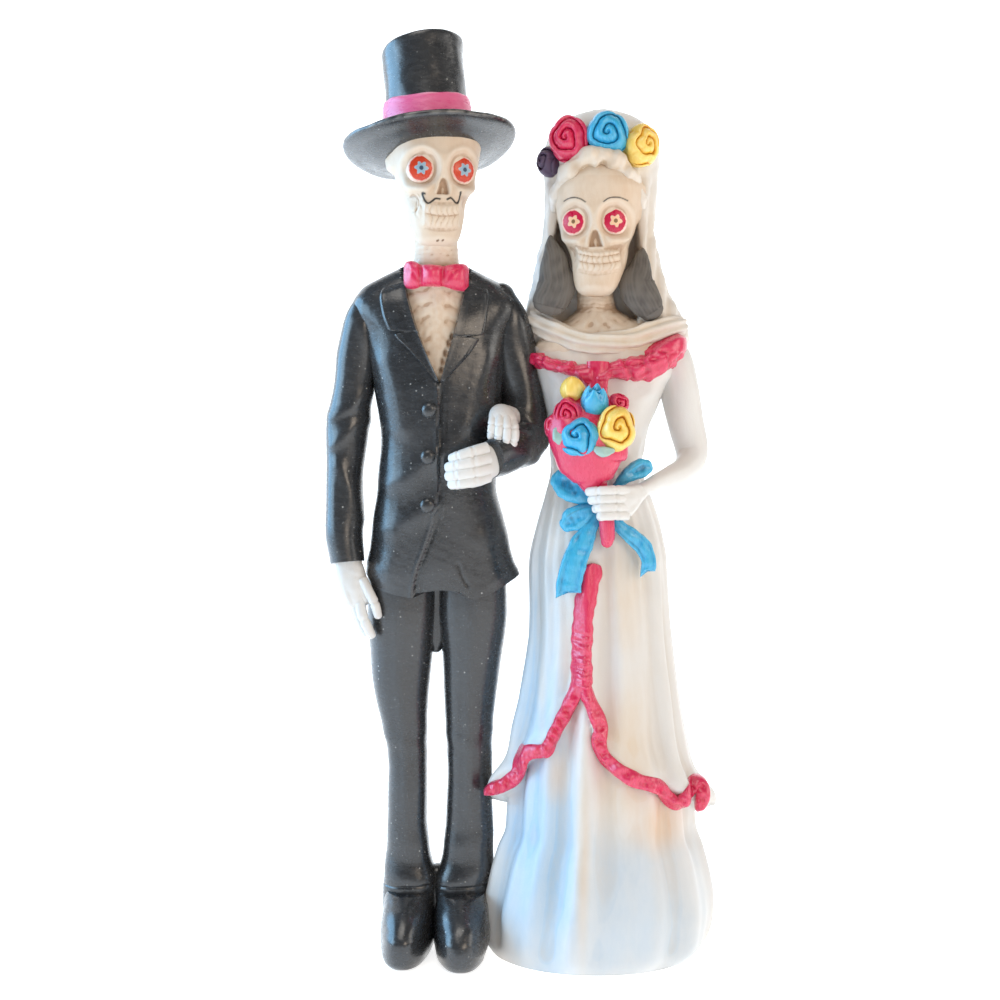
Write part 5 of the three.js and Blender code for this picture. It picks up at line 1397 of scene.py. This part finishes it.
class COUPLE_OT_bride_body(CoupleOperator, bpy.types.Operator):
    """Bride's neck and bare shoulders with collarbones, her thin arms and her hands"""

    bl_idname = "couple.bride_body"
    bl_label = "Bride's body"

    def build(self, scene):
        bust = loft(BODICE, np.linspace(144, 169, 84), angles(120, 0.35))
        x, z = bust[..., 0], bust[..., 2]
        carve = 0.05 * np.cos(TURN * (z + 0.2 * wobble(bust, 4.0, 5)) / 1.0) * step(158.5, 160.5, z)
        collar = from_line(x, z, [(8.0, 156.5), (13.0, 154.8), (17.0, 154.6)])
        collar = np.minimum(collar, from_line(x, z, [(20.4, 154.6), (25.0, 155.2), (31.0, 157.4)]))
        carve += 0.35 * bump(collar / 1.1)
        spread = np.arctan2(x - 18.6, 161 - z)
        carve += 0.12 * np.cos(9 * spread + wobble(bust, 5.0, 7)) * step(158.5, 156, z)
        bust = raised(bust, carve + 0.04 * wobble(bust, 2.2, 6) - 0.8 * step(150.5, 148, z))
        holding = limb([
            (35.0, 0.8, 152.0, 4.0, 4.4), (37.8, 0.8, 147.4, 4.8, 5.0), (39.4, 0.8, 142.0, 4.7, 5.0),
            (41.0, 0.8, 133.0, 4.4, 4.6), (42.8, 0.0, 124.8, 3.8, 4.1), (39.8, -4.4, 120.4, 3.0, 3.3),
            (34.0, -9.6, 118.2, 2.2, 2.6), (28.6, -14.2, 115.9, 1.7, 2.0),
        ], 64, 100, across=(0.86, 0.5, 0), start="round")
        linked = limb([
            (7.0, 1.2, 151.0, 4.4, 4.6), (4.6, 3.4, 143.0, 4.4, 4.6), (3.4, 4.8, 134.6, 4.2, 4.2),
            (0.4, 0.4, 132.0, 3.6, 3.6), (-3.6, -7.0, 134.2, 2.2, 2.4),
        ], 40, 46, across=(0.86, -0.5, 0))
        holding = folded(holding, [[(36, 146), (38, 138), (40, 130)]], 0.25, 91, 2.0)
        make_piece("bride_bust", [bust], bone(), reach=(2, 6))
        make_piece("bride_arms", [holding, linked], hand(), reach=(2, 6))
        along, level = (0.97, 0, -0.1), (0.1, 0, -1)
        grids = [limb([(-4.6, -7.0, 134.6, 2.0, 1.8), (-4.8, -11.0, 134.8, 2.8, 2.0),
                       (-4.6, -13.4, 133.4, 3.4, 2.0), (-4.2, -14.4, 131.4, 3.4, 1.8)], 50, 34, along,
                      start="round")]
        for k, line in enumerate((
            [(-6.6, -13.2, 134.2), (-7.0, -14.9, 132.4), (-7.2, -15.3, 130.6), (-7.4, -14.9, 129.0)],
            [(-5.2, -13.6, 134.4), (-5.4, -15.6, 132.2), (-5.5, -16.1, 130.0), (-5.7, -15.5, 128.0)],
            [(-3.9, -13.6, 134.2), (-3.6, -15.8, 131.8), (-3.6, -16.4, 129.2), (-4.0, -15.8, 126.8)],
            [(-2.7, -13.2, 133.4), (-1.9, -15.2, 131.4), (-1.7, -16.0, 129.0), (-2.3, -15.4, 126.6)],
        )):
            grids.append(finger(line, 1.2, along, (0.4, 0.74), 100 + k))
        grids.append(palm([(28.8, -14.2, 115.9, 1.7, 1.7), (27.2, -16.0, 115.2, 2.5, 1.9),
                           (25.4, -17.6, 114.2, 3.5, 2.0), (24.0, -18.4, 113.4, 3.9, 1.9)], level, 3, 74))
        for k, (z, tip) in enumerate(((116.1, 15.0), (114.1, 15.6), (112.1, 16.6), (110.2, 18.0))):
            line = [(25.0, -18.6, z), (22.2, -20.4, z + 0.15), (18.8, -21.2, z + 0.05),
                    (tip + 0.9, -19.9, z - 0.2)]
            grids.append(finger(line, 1.22, level, (0.3, 0.68), 110 + k, 0.9))
        make_piece("bride_hands", grids, hand(), reach=(2, 4))


class COUPLE_OT_bride_gown(CoupleOperator, bpy.types.Operator):
    """Gown: the skirt and its overskirt as one folded loft, the bodice, the crinkled ruffle, and the pink
    trims laid along the overskirt's hem"""

    bl_idname = "couple.bride_gown"
    bl_label = "Bride's gown"

    def build(self, scene):
        s = scene.couple_sizes
        hem_rows = np.linspace(32, 72, 82)
        heights = with_ends(np.concatenate([np.linspace(0, 31, 26), hem_rows, np.linspace(73, 121, 40)]))
        grid = loft(GOWN, heights, angles(240, 0.2), gown_relief)
        grid = raised(grid, 0.16 * wobble(grid * [1, 1, 0.5], 12.0, 131) * step(0, 4, grid[..., 2]))
        grid[..., 2] = np.maximum(grid[..., 2], 0)
        bodice = loft(BODICE, np.linspace(116.5, 150, 66), angles(120, 0.3))
        x, z = bodice[..., 0], bodice[..., 2]
        carve = 0.3 * np.cos(9 * np.arctan2(bodice[..., 1], x - 19)) * step(132, 120, z)
        for fold in ([(29, 136), (24, 131), (22, 124)], [(32, 140), (27, 137), (24, 133)],
                     [(8, 138), (10, 130), (12, 122)]):
            carve += 0.4 * bump(from_line(x, z, fold) / 1.8)
        bodice = raised(bodice, carve + 0.12 * wobble(bodice, 5.0, 132))
        make_piece("bride_gown", [grid, bodice], white(), reach=(3, 9))

        crinkle = mm(s.crinkle)
        heights = np.concatenate([[141.99], np.linspace(142, 150.2, 34)])
        ruffle = loft(RUFFLE, heights, angles(300, 0.3))
        x, y, z = ruffle[..., 0], ruffle[..., 1], ruffle[..., 2]
        line, half = columns(RUFFLE_LINE, x)
        back = step(-2, 3, y)
        line = line + (146.4 + 0.11 * (x - 20) - line) * back
        half = half + (3.7 - half) * back
        ruffle[..., 2] = line + (z - 146.1) / 4.1 * half
        uneven = wobble(ruffle * [1, 1, 0.6], 7.0, 141)
        a = np.arctan2(y, x - 21)
        waves = 0.3 * np.cos(19 * a + 2.5 * uneven) + 0.15 * np.cos(37 * a + 0.8 * z + 2.5 * uneven)
        waves += 0.4 * wobble(ruffle * [1, 1, 1.6], 4.0, 142)
        crease = from_line(x, ruffle[..., 2], [(4, 148), (14, 145.6), (24, 145.8), (33, 147.6), (40, 150.4)])
        waves += -0.5 * bump(crease / 0.35)
        ruffle = raised(ruffle, crinkle * waves * step(141.9, 142.8, z) * step(150.3, 149.4, z))
        drop = limb([(18.5, -10.4, 147.0, 2.7, 1.3), (18.4, -11.0, 142.0, 2.5, 1.2),
                     (18.2, -11.4, 137.0, 2.3, 1.1)], 36, 26)
        make_piece("bride_ruffle", [ruffle, raised(drop, 0.1 * wobble(drop, 3.0, 143))], pink())

        cloth = front_map(grid, -12, 50)

        def hull(x, z):
            """The most forward of the gown's places near a height, so that a trim clears the hem's step."""
            x = np.clip(x, -3.6, 41.8)
            return np.minimum.reduce([cloth(x, z + up) for up in (-1.2, 0.0, 1.2, 2.4)])

        def ribbon(line, steps, wide, smooth, seed):
            """A trim: its section a rounded pillow with a fine groove along it, crinkled past smooth."""

            def half(t, _):
                shape = wide * (1 + 0.05 * np.sin(23 * t + seed) + 0.04 * np.sin(61 * t + 2))
                ends = np.maximum(0.07 - t, t - 0.93).clip(0, 0.07) / 0.07
                return shape * np.sqrt(np.clip(1 - ends**2, 0.03, 1))

            def height(t, s_):
                t = t + 0 * s_
                s_ = s_ + 0 * t
                crease = np.sin(84 * t + 3.2 * np.sin(11 * t + seed) + 1.6 * s_)
                fine = np.sin(191 * t + 2.4 * np.sin(23 * t) + seed - 2.4 * s_)
                crumple = crinkle * (0.6 * crease + 0.1 * fine) * step(smooth, smooth + 0.15, t)
                groove = -0.2 * bump((s_ - 0.12 * np.sin(17 * t + seed)) / 0.14)
                return np.sqrt(np.maximum(1 - s_**2, 0)) ** 0.7 * (1.5 + groove + crumple) - 0.3

            return strip(line, steps, half, height, hull)

        half = mm(s.trim_width) / 2
        middle = [(17.3, 98.4), (17.1, 96.6), (15.9, 91.6), (15.0, 86.8), (14.6, 81.3), (14.4, 75.5),
                  (14.5, 70.5), (14.6, 67.6)]
        left = [(14.2, 73), (13.8, 70), (12.8, 67.4), (10.9, 62.8), (8.3, 58.0), (7.0, 55.2), (5.6, 53.0),
                (1.9, 52.3), (0.0, 49.8), (-1.0, 46.0), (-3.6, 43.4), (-7.0, 41.8), (-9.2, 40.8)]
        right = [(14.6, 73), (14.9, 70), (15.6, 67.1), (17.3, 63.3), (18.9, 59.2), (18.5, 55.6),
                 (19.6, 52.4), (21.6, 50.2), (24.4, 48.4), (27.6, 46.6), (31.0, 45.6), (33.6, 44.0),
                 (35.4, 41.4), (37.8, 39.8), (40.2, 41.4), (42.3, 43.6), (44.2, 43.4), (44.6, 40.4),
                 (43.4, 36.6)]
        trims = [
            ribbon(middle, 300, 1.2 * half, 0.5, 1.0),
            ribbon(left, 400, 0.84 * half, 0.0, 1.7),
            ribbon(right, 500, 0.86 * half, 0.0, 2.6),
        ]
        make_piece("bride_gown_trims", trims, pink())


class COUPLE_OT_bride_veil(CoupleOperator, bpy.types.Operator):
    """Veil: a hooded loft hollowed round the face, with a rolled edge and pleats behind it, a gathered fold
    over the brow and a pleated one over the shoulders; and two locks of combed dark hair inside it"""

    bl_idname = "couple.bride_veil"
    bl_label = "Bride's veil and hair"

    def build(self, scene):
        heights = np.linspace(124, 210.4, 140)
        grid = loft(VEIL, heights, angles(190, 0.2))
        out = normals(grid)
        x, z = grid[..., 0], grid[..., 2]
        facing = step(0.0, 0.3, -out[..., 1])
        half = curve([[150, 6.0], [156, 9.5], [162, 11.6], [170, 11.0], [178, 10.4], [184, 9.8], [188, 8.6],
                      [191, 6.4], [193, 3.6], [194, 0.2]], z)[..., 0]
        middle = 18.6 + 0.02 * (z - 170)
        inside = half - np.abs(x - middle)
        open_face = step(-0.25, 0.75, inside) * step(152, 157, z) * step(194.4, 193.6, z) * facing
        lip = bump((inside + 1.1) / 0.8) * facing * step(152, 158, z) * step(196.5, 193, z)
        a = np.arctan2(grid[..., 1] - 4.4, x - 20)
        behind = step(-0.35, 0.3, out[..., 1])
        pleats = 0.6 * behind * np.cos(13 * a + 0.03 * z + 0.5 * wobble(grid, 25.0, 151))
        sides = 0.4 * facing * np.cos(1.9 * (np.abs(x - middle) - 0.07 * (z - 160))) * step(198, 190, z)
        carve = 0.75 * lip + pleats + sides * (1 - open_face) + 0.1 * wobble(grid, 3.0, 153)
        grid = grid + out * carve[..., None]
        grid[..., 1] += 7.5 * open_face
        make_piece("bride_veil", [grid], white(), reach=(3, 7))

        cap = limb([
            (8.4, 0.4, 186.0, 2.6, 1.3), (9.2, -2.4, 189.6, 3.0, 1.7), (12.0, -5.2, 193.6, 3.6, 2.3),
            (16.0, -6.8, 196.4, 4.0, 2.6), (20.6, -7.0, 196.6, 4.0, 2.6), (24.6, -5.8, 194.2, 3.6, 2.3),
            (27.8, -3.4, 190.4, 3.0, 1.7), (29.6, -0.4, 186.4, 2.6, 1.3),
        ], 60, 150, across=(0, 1, 0), power=2.2, start="round")
        along = course(len(cap)) + np.zeros((1, 60))
        soft = 0.4 * np.cos(TURN * 6.5 * along + 1.4 * wobble(cap, 8.0, 155)) + 0.2 * wobble(cap, 2.6, 156)
        cap = raised(cap, soft * step(0, 0.12, along) * step(1, 0.88, along))
        # Painted shadow: tan-brown patches on the cap just under the pink and blue roses, in the colour of
        # the wash
        wash_and_shade = 0.6 * bump((cap[..., 0] - 13.2) / 1.4, (cap[..., 2] - 193.8) / 1.2)
        wash_and_shade += 0.6 * bump((cap[..., 0] - 20.9) / 1.7, (cap[..., 2] - 194.6) / 1.2)
        paint = np.concatenate([np.broadcast_to([0.42, 0.27, 0.15], cap.shape), wash_and_shade[..., None]], -1)
        make_piece("bride_veil_front", [cap], white(), [paint], reach=(3, 7))

        fold = limb([
            (3.0, 0.4, 158.4, 2.6, 2.2), (7.0, -3.0, 155.2, 2.8, 2.0), (13.0, -6.2, 152.4, 2.7, 1.9),
            (16.7, -7.4, 151.4, 2.6, 1.9), (20.3, -7.6, 151.6, 2.6, 1.9), (25.2, -7.0, 152.0, 2.7, 1.9),
            (29.0, -6.0, 153.0, 2.8, 1.9), (34.0, -4.0, 155.0, 2.8, 2.1), (39.2, 0.0, 156.6, 2.4, 2.2),
        ], 60, 110, across=(0, 0, 1))
        pleats = 0.3 * np.cos(7 * circle(60) + 2.4 * np.sin(6 * course(len(fold))))
        fold = raised(fold, pleats + 0.14 * wobble(fold, 5.0, 161))
        make_piece("bride_veil_ends", [fold], white())

        locks = []
        for line, seed in (
            ([(7.2, -1.4, 177.6, 0.7, 1.6), (7.5, -2.8, 175.2, 1.9, 2.3), (8.1, -3.8, 172.8, 3.1, 2.6),
              (8.3, -4.4, 169.6, 3.9, 2.8), (8.7, -4.8, 166.4, 4.7, 2.8), (7.9, -5.0, 163.8, 4.6, 2.6),
              (6.9, -4.9, 161.8, 4.3, 2.3), (6.6, -4.8, 160.8, 3.8, 2.0)], 1),
            ([(30.0, -1.4, 174.4, 0.7, 1.6), (29.5, -2.8, 172.6, 1.9, 2.3), (29.0, -3.8, 169.6, 3.1, 2.6),
              (28.3, -4.6, 167.0, 4.5, 2.8), (28.5, -4.9, 165.4, 4.5, 2.8), (29.5, -4.9, 163.4, 4.4, 2.6),
              (31.2, -4.6, 161.0, 3.8, 2.3), (32.2, -4.2, 159.6, 3.0, 2.0)], 2),
        ):
            grid = limb(line, 92, 80, power=2.3)
            side = grid - grid.mean(1, keepdims=True)
            comb = np.cos(4.4 * side[..., 0] + 0.5 * wobble(grid, 14.0, 170 + seed)) * 0.5
            comb += 0.5 * np.cos(8.6 * side[..., 0] + 0.8 * wobble(grid, 12.0, 172 + seed))
            locks.append(raised(grid, 0.05 * comb + 0.04 * wobble(grid, 4.0, 174 + seed)))
        make_piece("bride_hair", locks, hair())


class COUPLE_OT_bride_wreath(CoupleOperator, bpy.types.Operator):
    """Wreath: four roses pressed against the front of the veil"""

    bl_idname = "couple.bride_wreath"
    bl_label = "Bride's wreath"

    def build(self, scene):
        size = mm(scene.couple_sizes.rose_radius)
        for name, slot, finish, x, z, wide, lean, roll, seed in (
            ("wreath_rose_purple", "purple_paint", purple(), 6.9, 196.8, (0.6, 0.72), -50, 0, 1),
            ("wreath_rose_pink", "pink_paint", pink(), 11.6, 201.4, (0.98, 1.14), -22, 12, 2),
            ("wreath_rose_blue", "blue_paint", blue(), 20.9, 202.3, (1.0, 1.08), 0, 0, 3),
            ("wreath_rose_yellow", "yellow_paint", yellow(), 29.6, 199.9, (0.9, 1.06), 34, -22, 4),
        ):
            grid, mask = rose(size, seed, wide=wide)
            y = float(front_of(VEIL, np.array(x), np.array(z))) - 0.3 * size * wide[0]
            grid = turned_by(turned_by(turned_by(grid, z=roll), x=84), z=lean) + [x, y, z]
            make_piece(name, [grid], finish, rim=[0.8 * mask])


class COUPLE_OT_bouquet(CoupleOperator, bpy.types.Operator):
    """Bouquet: a gathered cone with its handle, seven flowers, two leaves, and the blue bow behind it"""

    bl_idname = "couple.bouquet"
    bl_label = "Bouquet and bow"

    def build(self, scene):
        cone = limb([
            (18.8, -17.0, 115.4, 2.0, 2.0), (17.5, -17.4, 117.4, 3.2, 2.9), (17.1, -17.5, 119.0, 5.0, 3.7),
            (16.6, -17.6, 121.2, 6.7, 4.5), (16.1, -17.6, 123.4, 8.2, 5.1), (15.9, -17.6, 126.0, 9.4, 5.6),
            (15.7, -17.4, 128.4, 9.7, 5.6), (15.6, -16.8, 130.4, 8.9, 5.0), (16.2, -15.6, 133.4, 7.0, 4.2),
            (16.6, -14.0, 137.0, 5.2, 3.6),
        ], 64, 64)
        cone = raised(cone, 0.12 * wobble(cone * [1, 1, 0.5], 5.0, 181))
        tilt = (cone[..., 0] - 16) * -0.27 * step(118, 129, cone[..., 2]) * step(138, 131, cone[..., 2])
        cone[..., 2] += tilt
        handle = limb([
            (20.0, -16.6, 113.0, 1.8, 1.8), (20.3, -16.6, 108.4, 1.85, 1.85), (20.5, -16.4, 105.2, 1.8, 1.8),
            (20.4, -16.2, 103.8, 1.5, 1.5),
        ], 36, 30)
        make_piece("bouquet_cone", [cone, handle], pink())

        def facing(made, x, y, z, lean, tip=84):
            return turned_by(turned_by(made[0], x=tip), z=lean) + [x, y, z], 0.7 * made[1]

        def upright(grid, x, y, z, lean, tip=24):
            return turned_by(grid, x=tip, y=lean) + [x, y, z], np.zeros(grid.shape[:2])

        def flowers(name, finish, made):
            make_piece(name, [grid for grid, _ in made], finish, rim=[mask for _, mask in made])

        flowers("bouquet_yellow_flowers", yellow(), [
            facing(rose(4.9, 11, 1.0, 1.9, (0.98, 1.14), 0.34), 22.2, -21.0, 130.9, 12),
            upright(bud(2.9, 3.5, 3), 12.0, -15.6, 140.2, -4),
        ])
        flowers("bouquet_blue_flowers", blue(), [
            facing(rose(4.9, 12, 1.1, 1.6, (1.0, 1.0), 0.3), 13.4, -21.0, 128.8, -14, 74),
            upright(bud(3.3, 4.2, 1, 4, 0.6), 17.2, -17.6, 136.6, 3, 30),
        ])
        flowers("bouquet_pink_flowers", pink(), [
            facing(rose(3.9, 13, 1.0, 2.8, (0.9, 1.12), 0.26), 10.8, -18.8, 134.0, -16),
            facing(rose(2.7, 17, 0.9, 1.8, (0.9, 1.1), 0.26), 7.4, -17.8, 131.4, -34),
            facing(rose(2.7, 15, 1.0, 1.8, (1.05, 0.9), 0.26), 22.9, -17.0, 136.9, 14),
        ])
        leaves = [
            leaf_shape([(9.6, -20.4, 127.4, 0.9, 0.8), (8.8, -21.0, 128.8, 1.7, 1.0),
                        (8.4, -20.4, 130.4, 1.1, 0.8)], 0.3, (1, 0, 0.3), 30, 28),
            leaf_shape([(17.2, -23.0, 126.0, 0.7, 0.8), (18.9, -23.4, 125.4, 1.3, 1.0),
                        (21.0, -22.8, 125.6, 0.7, 0.8)], 0.3, (0, 0, 1), 30, 28),
        ]
        make_piece("bouquet_leaves", leaves, leaf())

        bow = [
            leaf_shape([(18.6, -13.4, 113.6, 1.2, 1.4), (14.8, -14.2, 115.2, 2.9, 1.6),
                        (11.2, -14.2, 117.2, 3.6, 1.6), (8.6, -13.2, 118.9, 2.3, 1.4)], 0.9, (0.45, 0, 1)),
            leaf_shape([(18.4, -14.0, 112.2, 1.1, 1.3), (15.2, -14.8, 110.7, 2.3, 1.5),
                        (12.4, -14.8, 109.0, 3.0, 1.5), (10.6, -14.4, 107.6, 1.8, 1.3)], 0.7, (-0.55, 0, 1)),
            leaf_shape([(22.6, -13.4, 116.8, 0.9, 1.3), (25.6, -13.6, 119.6, 1.8, 1.5),
                        (28.6, -12.6, 121.2, 2.4, 1.5), (30.4, -11.8, 121.7, 1.7, 1.3)], 0.9, (-0.4, 0, 1)),
        ]
        tails = [
            limb([(18.4, -13.6, 112.0, 1.6, 1.2), (16.5, -14.6, 107.2, 1.9, 1.2),
                  (14.3, -15.2, 102.8, 2.9, 1.2), (12.7, -15.6, 99.0, 3.0, 1.2),
                  (11.5, -15.6, 94.6, 3.1, 1.1), (11.2, -15.6, 91.4, 3.1, 1.0)], 44, 70, (1, 0, -0.35), 3.2,
                 end="flat"),
            limb([(21.4, -13.8, 111.0, 1.3, 1.2), (23.2, -14.2, 107.6, 1.5, 1.2),
                  (26.4, -14.4, 105.0, 2.0, 1.2), (29.2, -14.2, 102.4, 2.1, 1.2),
                  (30.6, -14.2, 99.0, 1.8, 1.2), (30.4, -14.2, 96.4, 1.9, 1.0)], 44, 70, (1, 0, 0.4), 3.2,
                 end="flat"),
        ]
        for grid in tails:
            side = circle(44)
            grid[:] = raised(grid, 0.12 * np.cos(2.6 * pi * np.cos(side)) + 0.08 * wobble(grid, 2.6, 191))
            t = course(len(grid))
            grid[..., 2] += (0.9 * np.cos(side) - 0.7 * np.cos(2 * side)) * step(0.82, 1.0, t)
        rims, paints = [], []
        for grid in (*bow, *tails):
            rims.append(0.75 * step(0.15, 0.5, normals(grid)[..., 1]))
            side = np.cos(circle(grid.shape[1]))
            t = course(len(grid))
            # Painted shade: dark blue lines along the loops and the right tail stand for the shade in their
            # creases
            lines = sum(bump((side - place - 0.15 * t) / 0.035) * step(0.25, 0.4, t) * step(end, end - 0.2, t)
                        for place, end in ((-0.5, 0.8), (0.0, 0.7), (0.42, 0.85)))
            alpha = 0.55 * np.clip(lines, 0, 1) * (grid is not tails[0])
            dark = np.broadcast_to([0.01, 0.13, 0.2], grid.shape)
            paints.append(np.concatenate([dark, alpha[..., None]], -1))
        make_piece("bride_bow", [*bow, *tails], blue(), paints, rims)


# The sweep runs flat up to the first share of its length, and straight up from the second one
FLOOR_SHARE = 0.4167
WALL_SHARE = 0.8333
FLOOR_GAP = 0.0002
LIT_PLACE = np.array([0.0, 0.0, 0.12])
CAMERA_PLACE = np.array([-5.25, -375.0, 130.5])
CAMERA_DOWN = 2.67


class COUPLE_OT_stage(CoupleOperator, bpy.types.Operator):
    """Pale floor that sweeps up behind, soft studio lights, and the photograph's camera"""

    bl_idname = "couple.stage"
    bl_label = "Stage, lights and camera"

    def build(self, scene):
        t = np.linspace(0, 1, 60)
        bend = np.clip(t * 2.4 - 1.0, 0, 1) * pi / 2
        depth = np.where(t < FLOOR_SHARE, -1.2 + 4.0 * t, 0.467 + 0.5 * np.sin(bend))
        rise = np.where(t < FLOOR_SHARE, 0.0, 0.5 * (1 - np.cos(bend)))
        rise = rise + np.maximum(0, t - WALL_SHARE) * 7.0
        across = np.array([-1.6, 1.6])
        places = np.stack([np.stack([across, 0 * across + d, 0 * across + r - FLOOR_GAP], 1)
                           for d, r in zip(depth, rise)])
        ring = np.arange(len(t) - 1)
        quads = np.stack([2 * ring, 2 * ring + 1, 2 * ring + 3, 2 * ring + 2], 1)
        mesh = bpy.data.meshes.new("studio_floor")
        mesh.from_pydata(places.reshape(-1, 3).tolist(), [], quads.tolist())
        mesh.polygons.foreach_set("use_smooth", [True] * len(mesh.polygons))
        floor = bpy.data.objects.new("studio_floor", mesh)
        paper = bpy.data.materials.new("pale paper")
        paper.use_nodes = True
        shader = paper.node_tree.nodes["Principled BSDF"]
        shader.inputs["Base Color"].default_value = (0.88, 0.88, 0.875, 1)
        shader.inputs["Roughness"].default_value = 0.9
        shader.inputs["Emission Color"].default_value = (1, 1, 1, 1)
        shader.inputs["Emission Strength"].default_value = 0.8
        mesh.materials.append(paper)
        scene.collection.objects.link(floor)

        world = bpy.data.worlds.new("studio")
        world.use_nodes = True
        world.node_tree.nodes["Background"].inputs["Color"].default_value = (1, 1, 1, 1)
        world.node_tree.nodes["Background"].inputs["Strength"].default_value = 0.16
        scene.world = world
        for name, place, size, power, tone in (
            ("blue_light", (-0.9, -0.3, 0.34), 0.45, 3.8, (0.5, 0.76, 1.0)),
            ("warm_light", (0.5, -0.9, 0.5), 0.45, 3.0, (1.0, 0.84, 0.68)),
            ("top_light", (-0.15, -0.4, 1.0), 0.5, 2.7, (1.0, 0.95, 0.88)),
            ("edge_light", (-0.85, 0.18, 0.4), 0.7, 9.0, (0.34, 0.66, 1.0)),
            ("side_light", (0.9, -0.15, 0.4), 0.5, 2.4, (1.0, 0.96, 0.9)),
        ):
            lamp = bpy.data.lights.new(name, "AREA")
            lamp.shape = "SQUARE"
            lamp.size = size
            lamp.energy = power
            lamp.color = tone
            light = bpy.data.objects.new(name, lamp)
            light.location = place
            aim = LIT_PLACE - np.array(place)
            flat = float(np.hypot(aim[0], aim[1]))
            light.rotation_euler = (float(np.arctan2(flat, -aim[2])), 0, float(np.arctan2(-aim[0], aim[1])))
            scene.collection.objects.link(light)
        camera = bpy.data.objects.new("camera", bpy.data.cameras.new("camera"))
        camera.data.sensor_width = 36.0
        camera.data.lens = 54.0
        camera.location = metres(CAMERA_PLACE)
        camera.rotation_euler = (radians(90 - CAMERA_DOWN), 0, 0)
        scene.collection.objects.link(camera)
        scene.camera = camera
        scene.view_settings.view_transform = "Standard"


OPERATORS = (
    COUPLE_OT_stage,
    COUPLE_OT_groom_hat,
    COUPLE_OT_groom_head,
    COUPLE_OT_groom_body,
    COUPLE_OT_groom_hands,
    COUPLE_OT_bride_head,
    COUPLE_OT_bride_body,
    COUPLE_OT_bride_gown,
    COUPLE_OT_bride_veil,
    COUPLE_OT_bride_wreath,
    COUPLE_OT_bouquet,
)


class COUPLE_PT_panel(bpy.types.Panel):
    """Lists the couple's pieces, in the order in which they are built"""

    bl_idname = "COUPLE_PT_panel"
    bl_label = "Day of the Dead couple"
    bl_space_type = "VIEW_3D"
    bl_region_type = "UI"
    bl_category = "Couple"

    def draw(self, context):
        for operator in OPERATORS:
            self.layout.operator(operator.bl_idname)


CLASSES = (CoupleSizes, CoupleColours, *OPERATORS, COUPLE_PT_panel)


def register():
    for made in CLASSES:
        bpy.utils.register_class(made)
    bpy.types.Scene.couple_sizes = bpy.props.PointerProperty(type=CoupleSizes)
    bpy.types.Scene.couple_colours = bpy.props.PointerProperty(type=CoupleColours)


def unregister():
    del bpy.types.Scene.couple_colours
    del bpy.types.Scene.couple_sizes
    for made in reversed(CLASSES):
        bpy.utils.unregister_class(made)


def main():
    register()
    for operator in OPERATORS:
        group, action = operator.bl_idname.split(".")
        getattr(getattr(bpy.ops, group), action)()


if __name__ == "__main__":
    main()
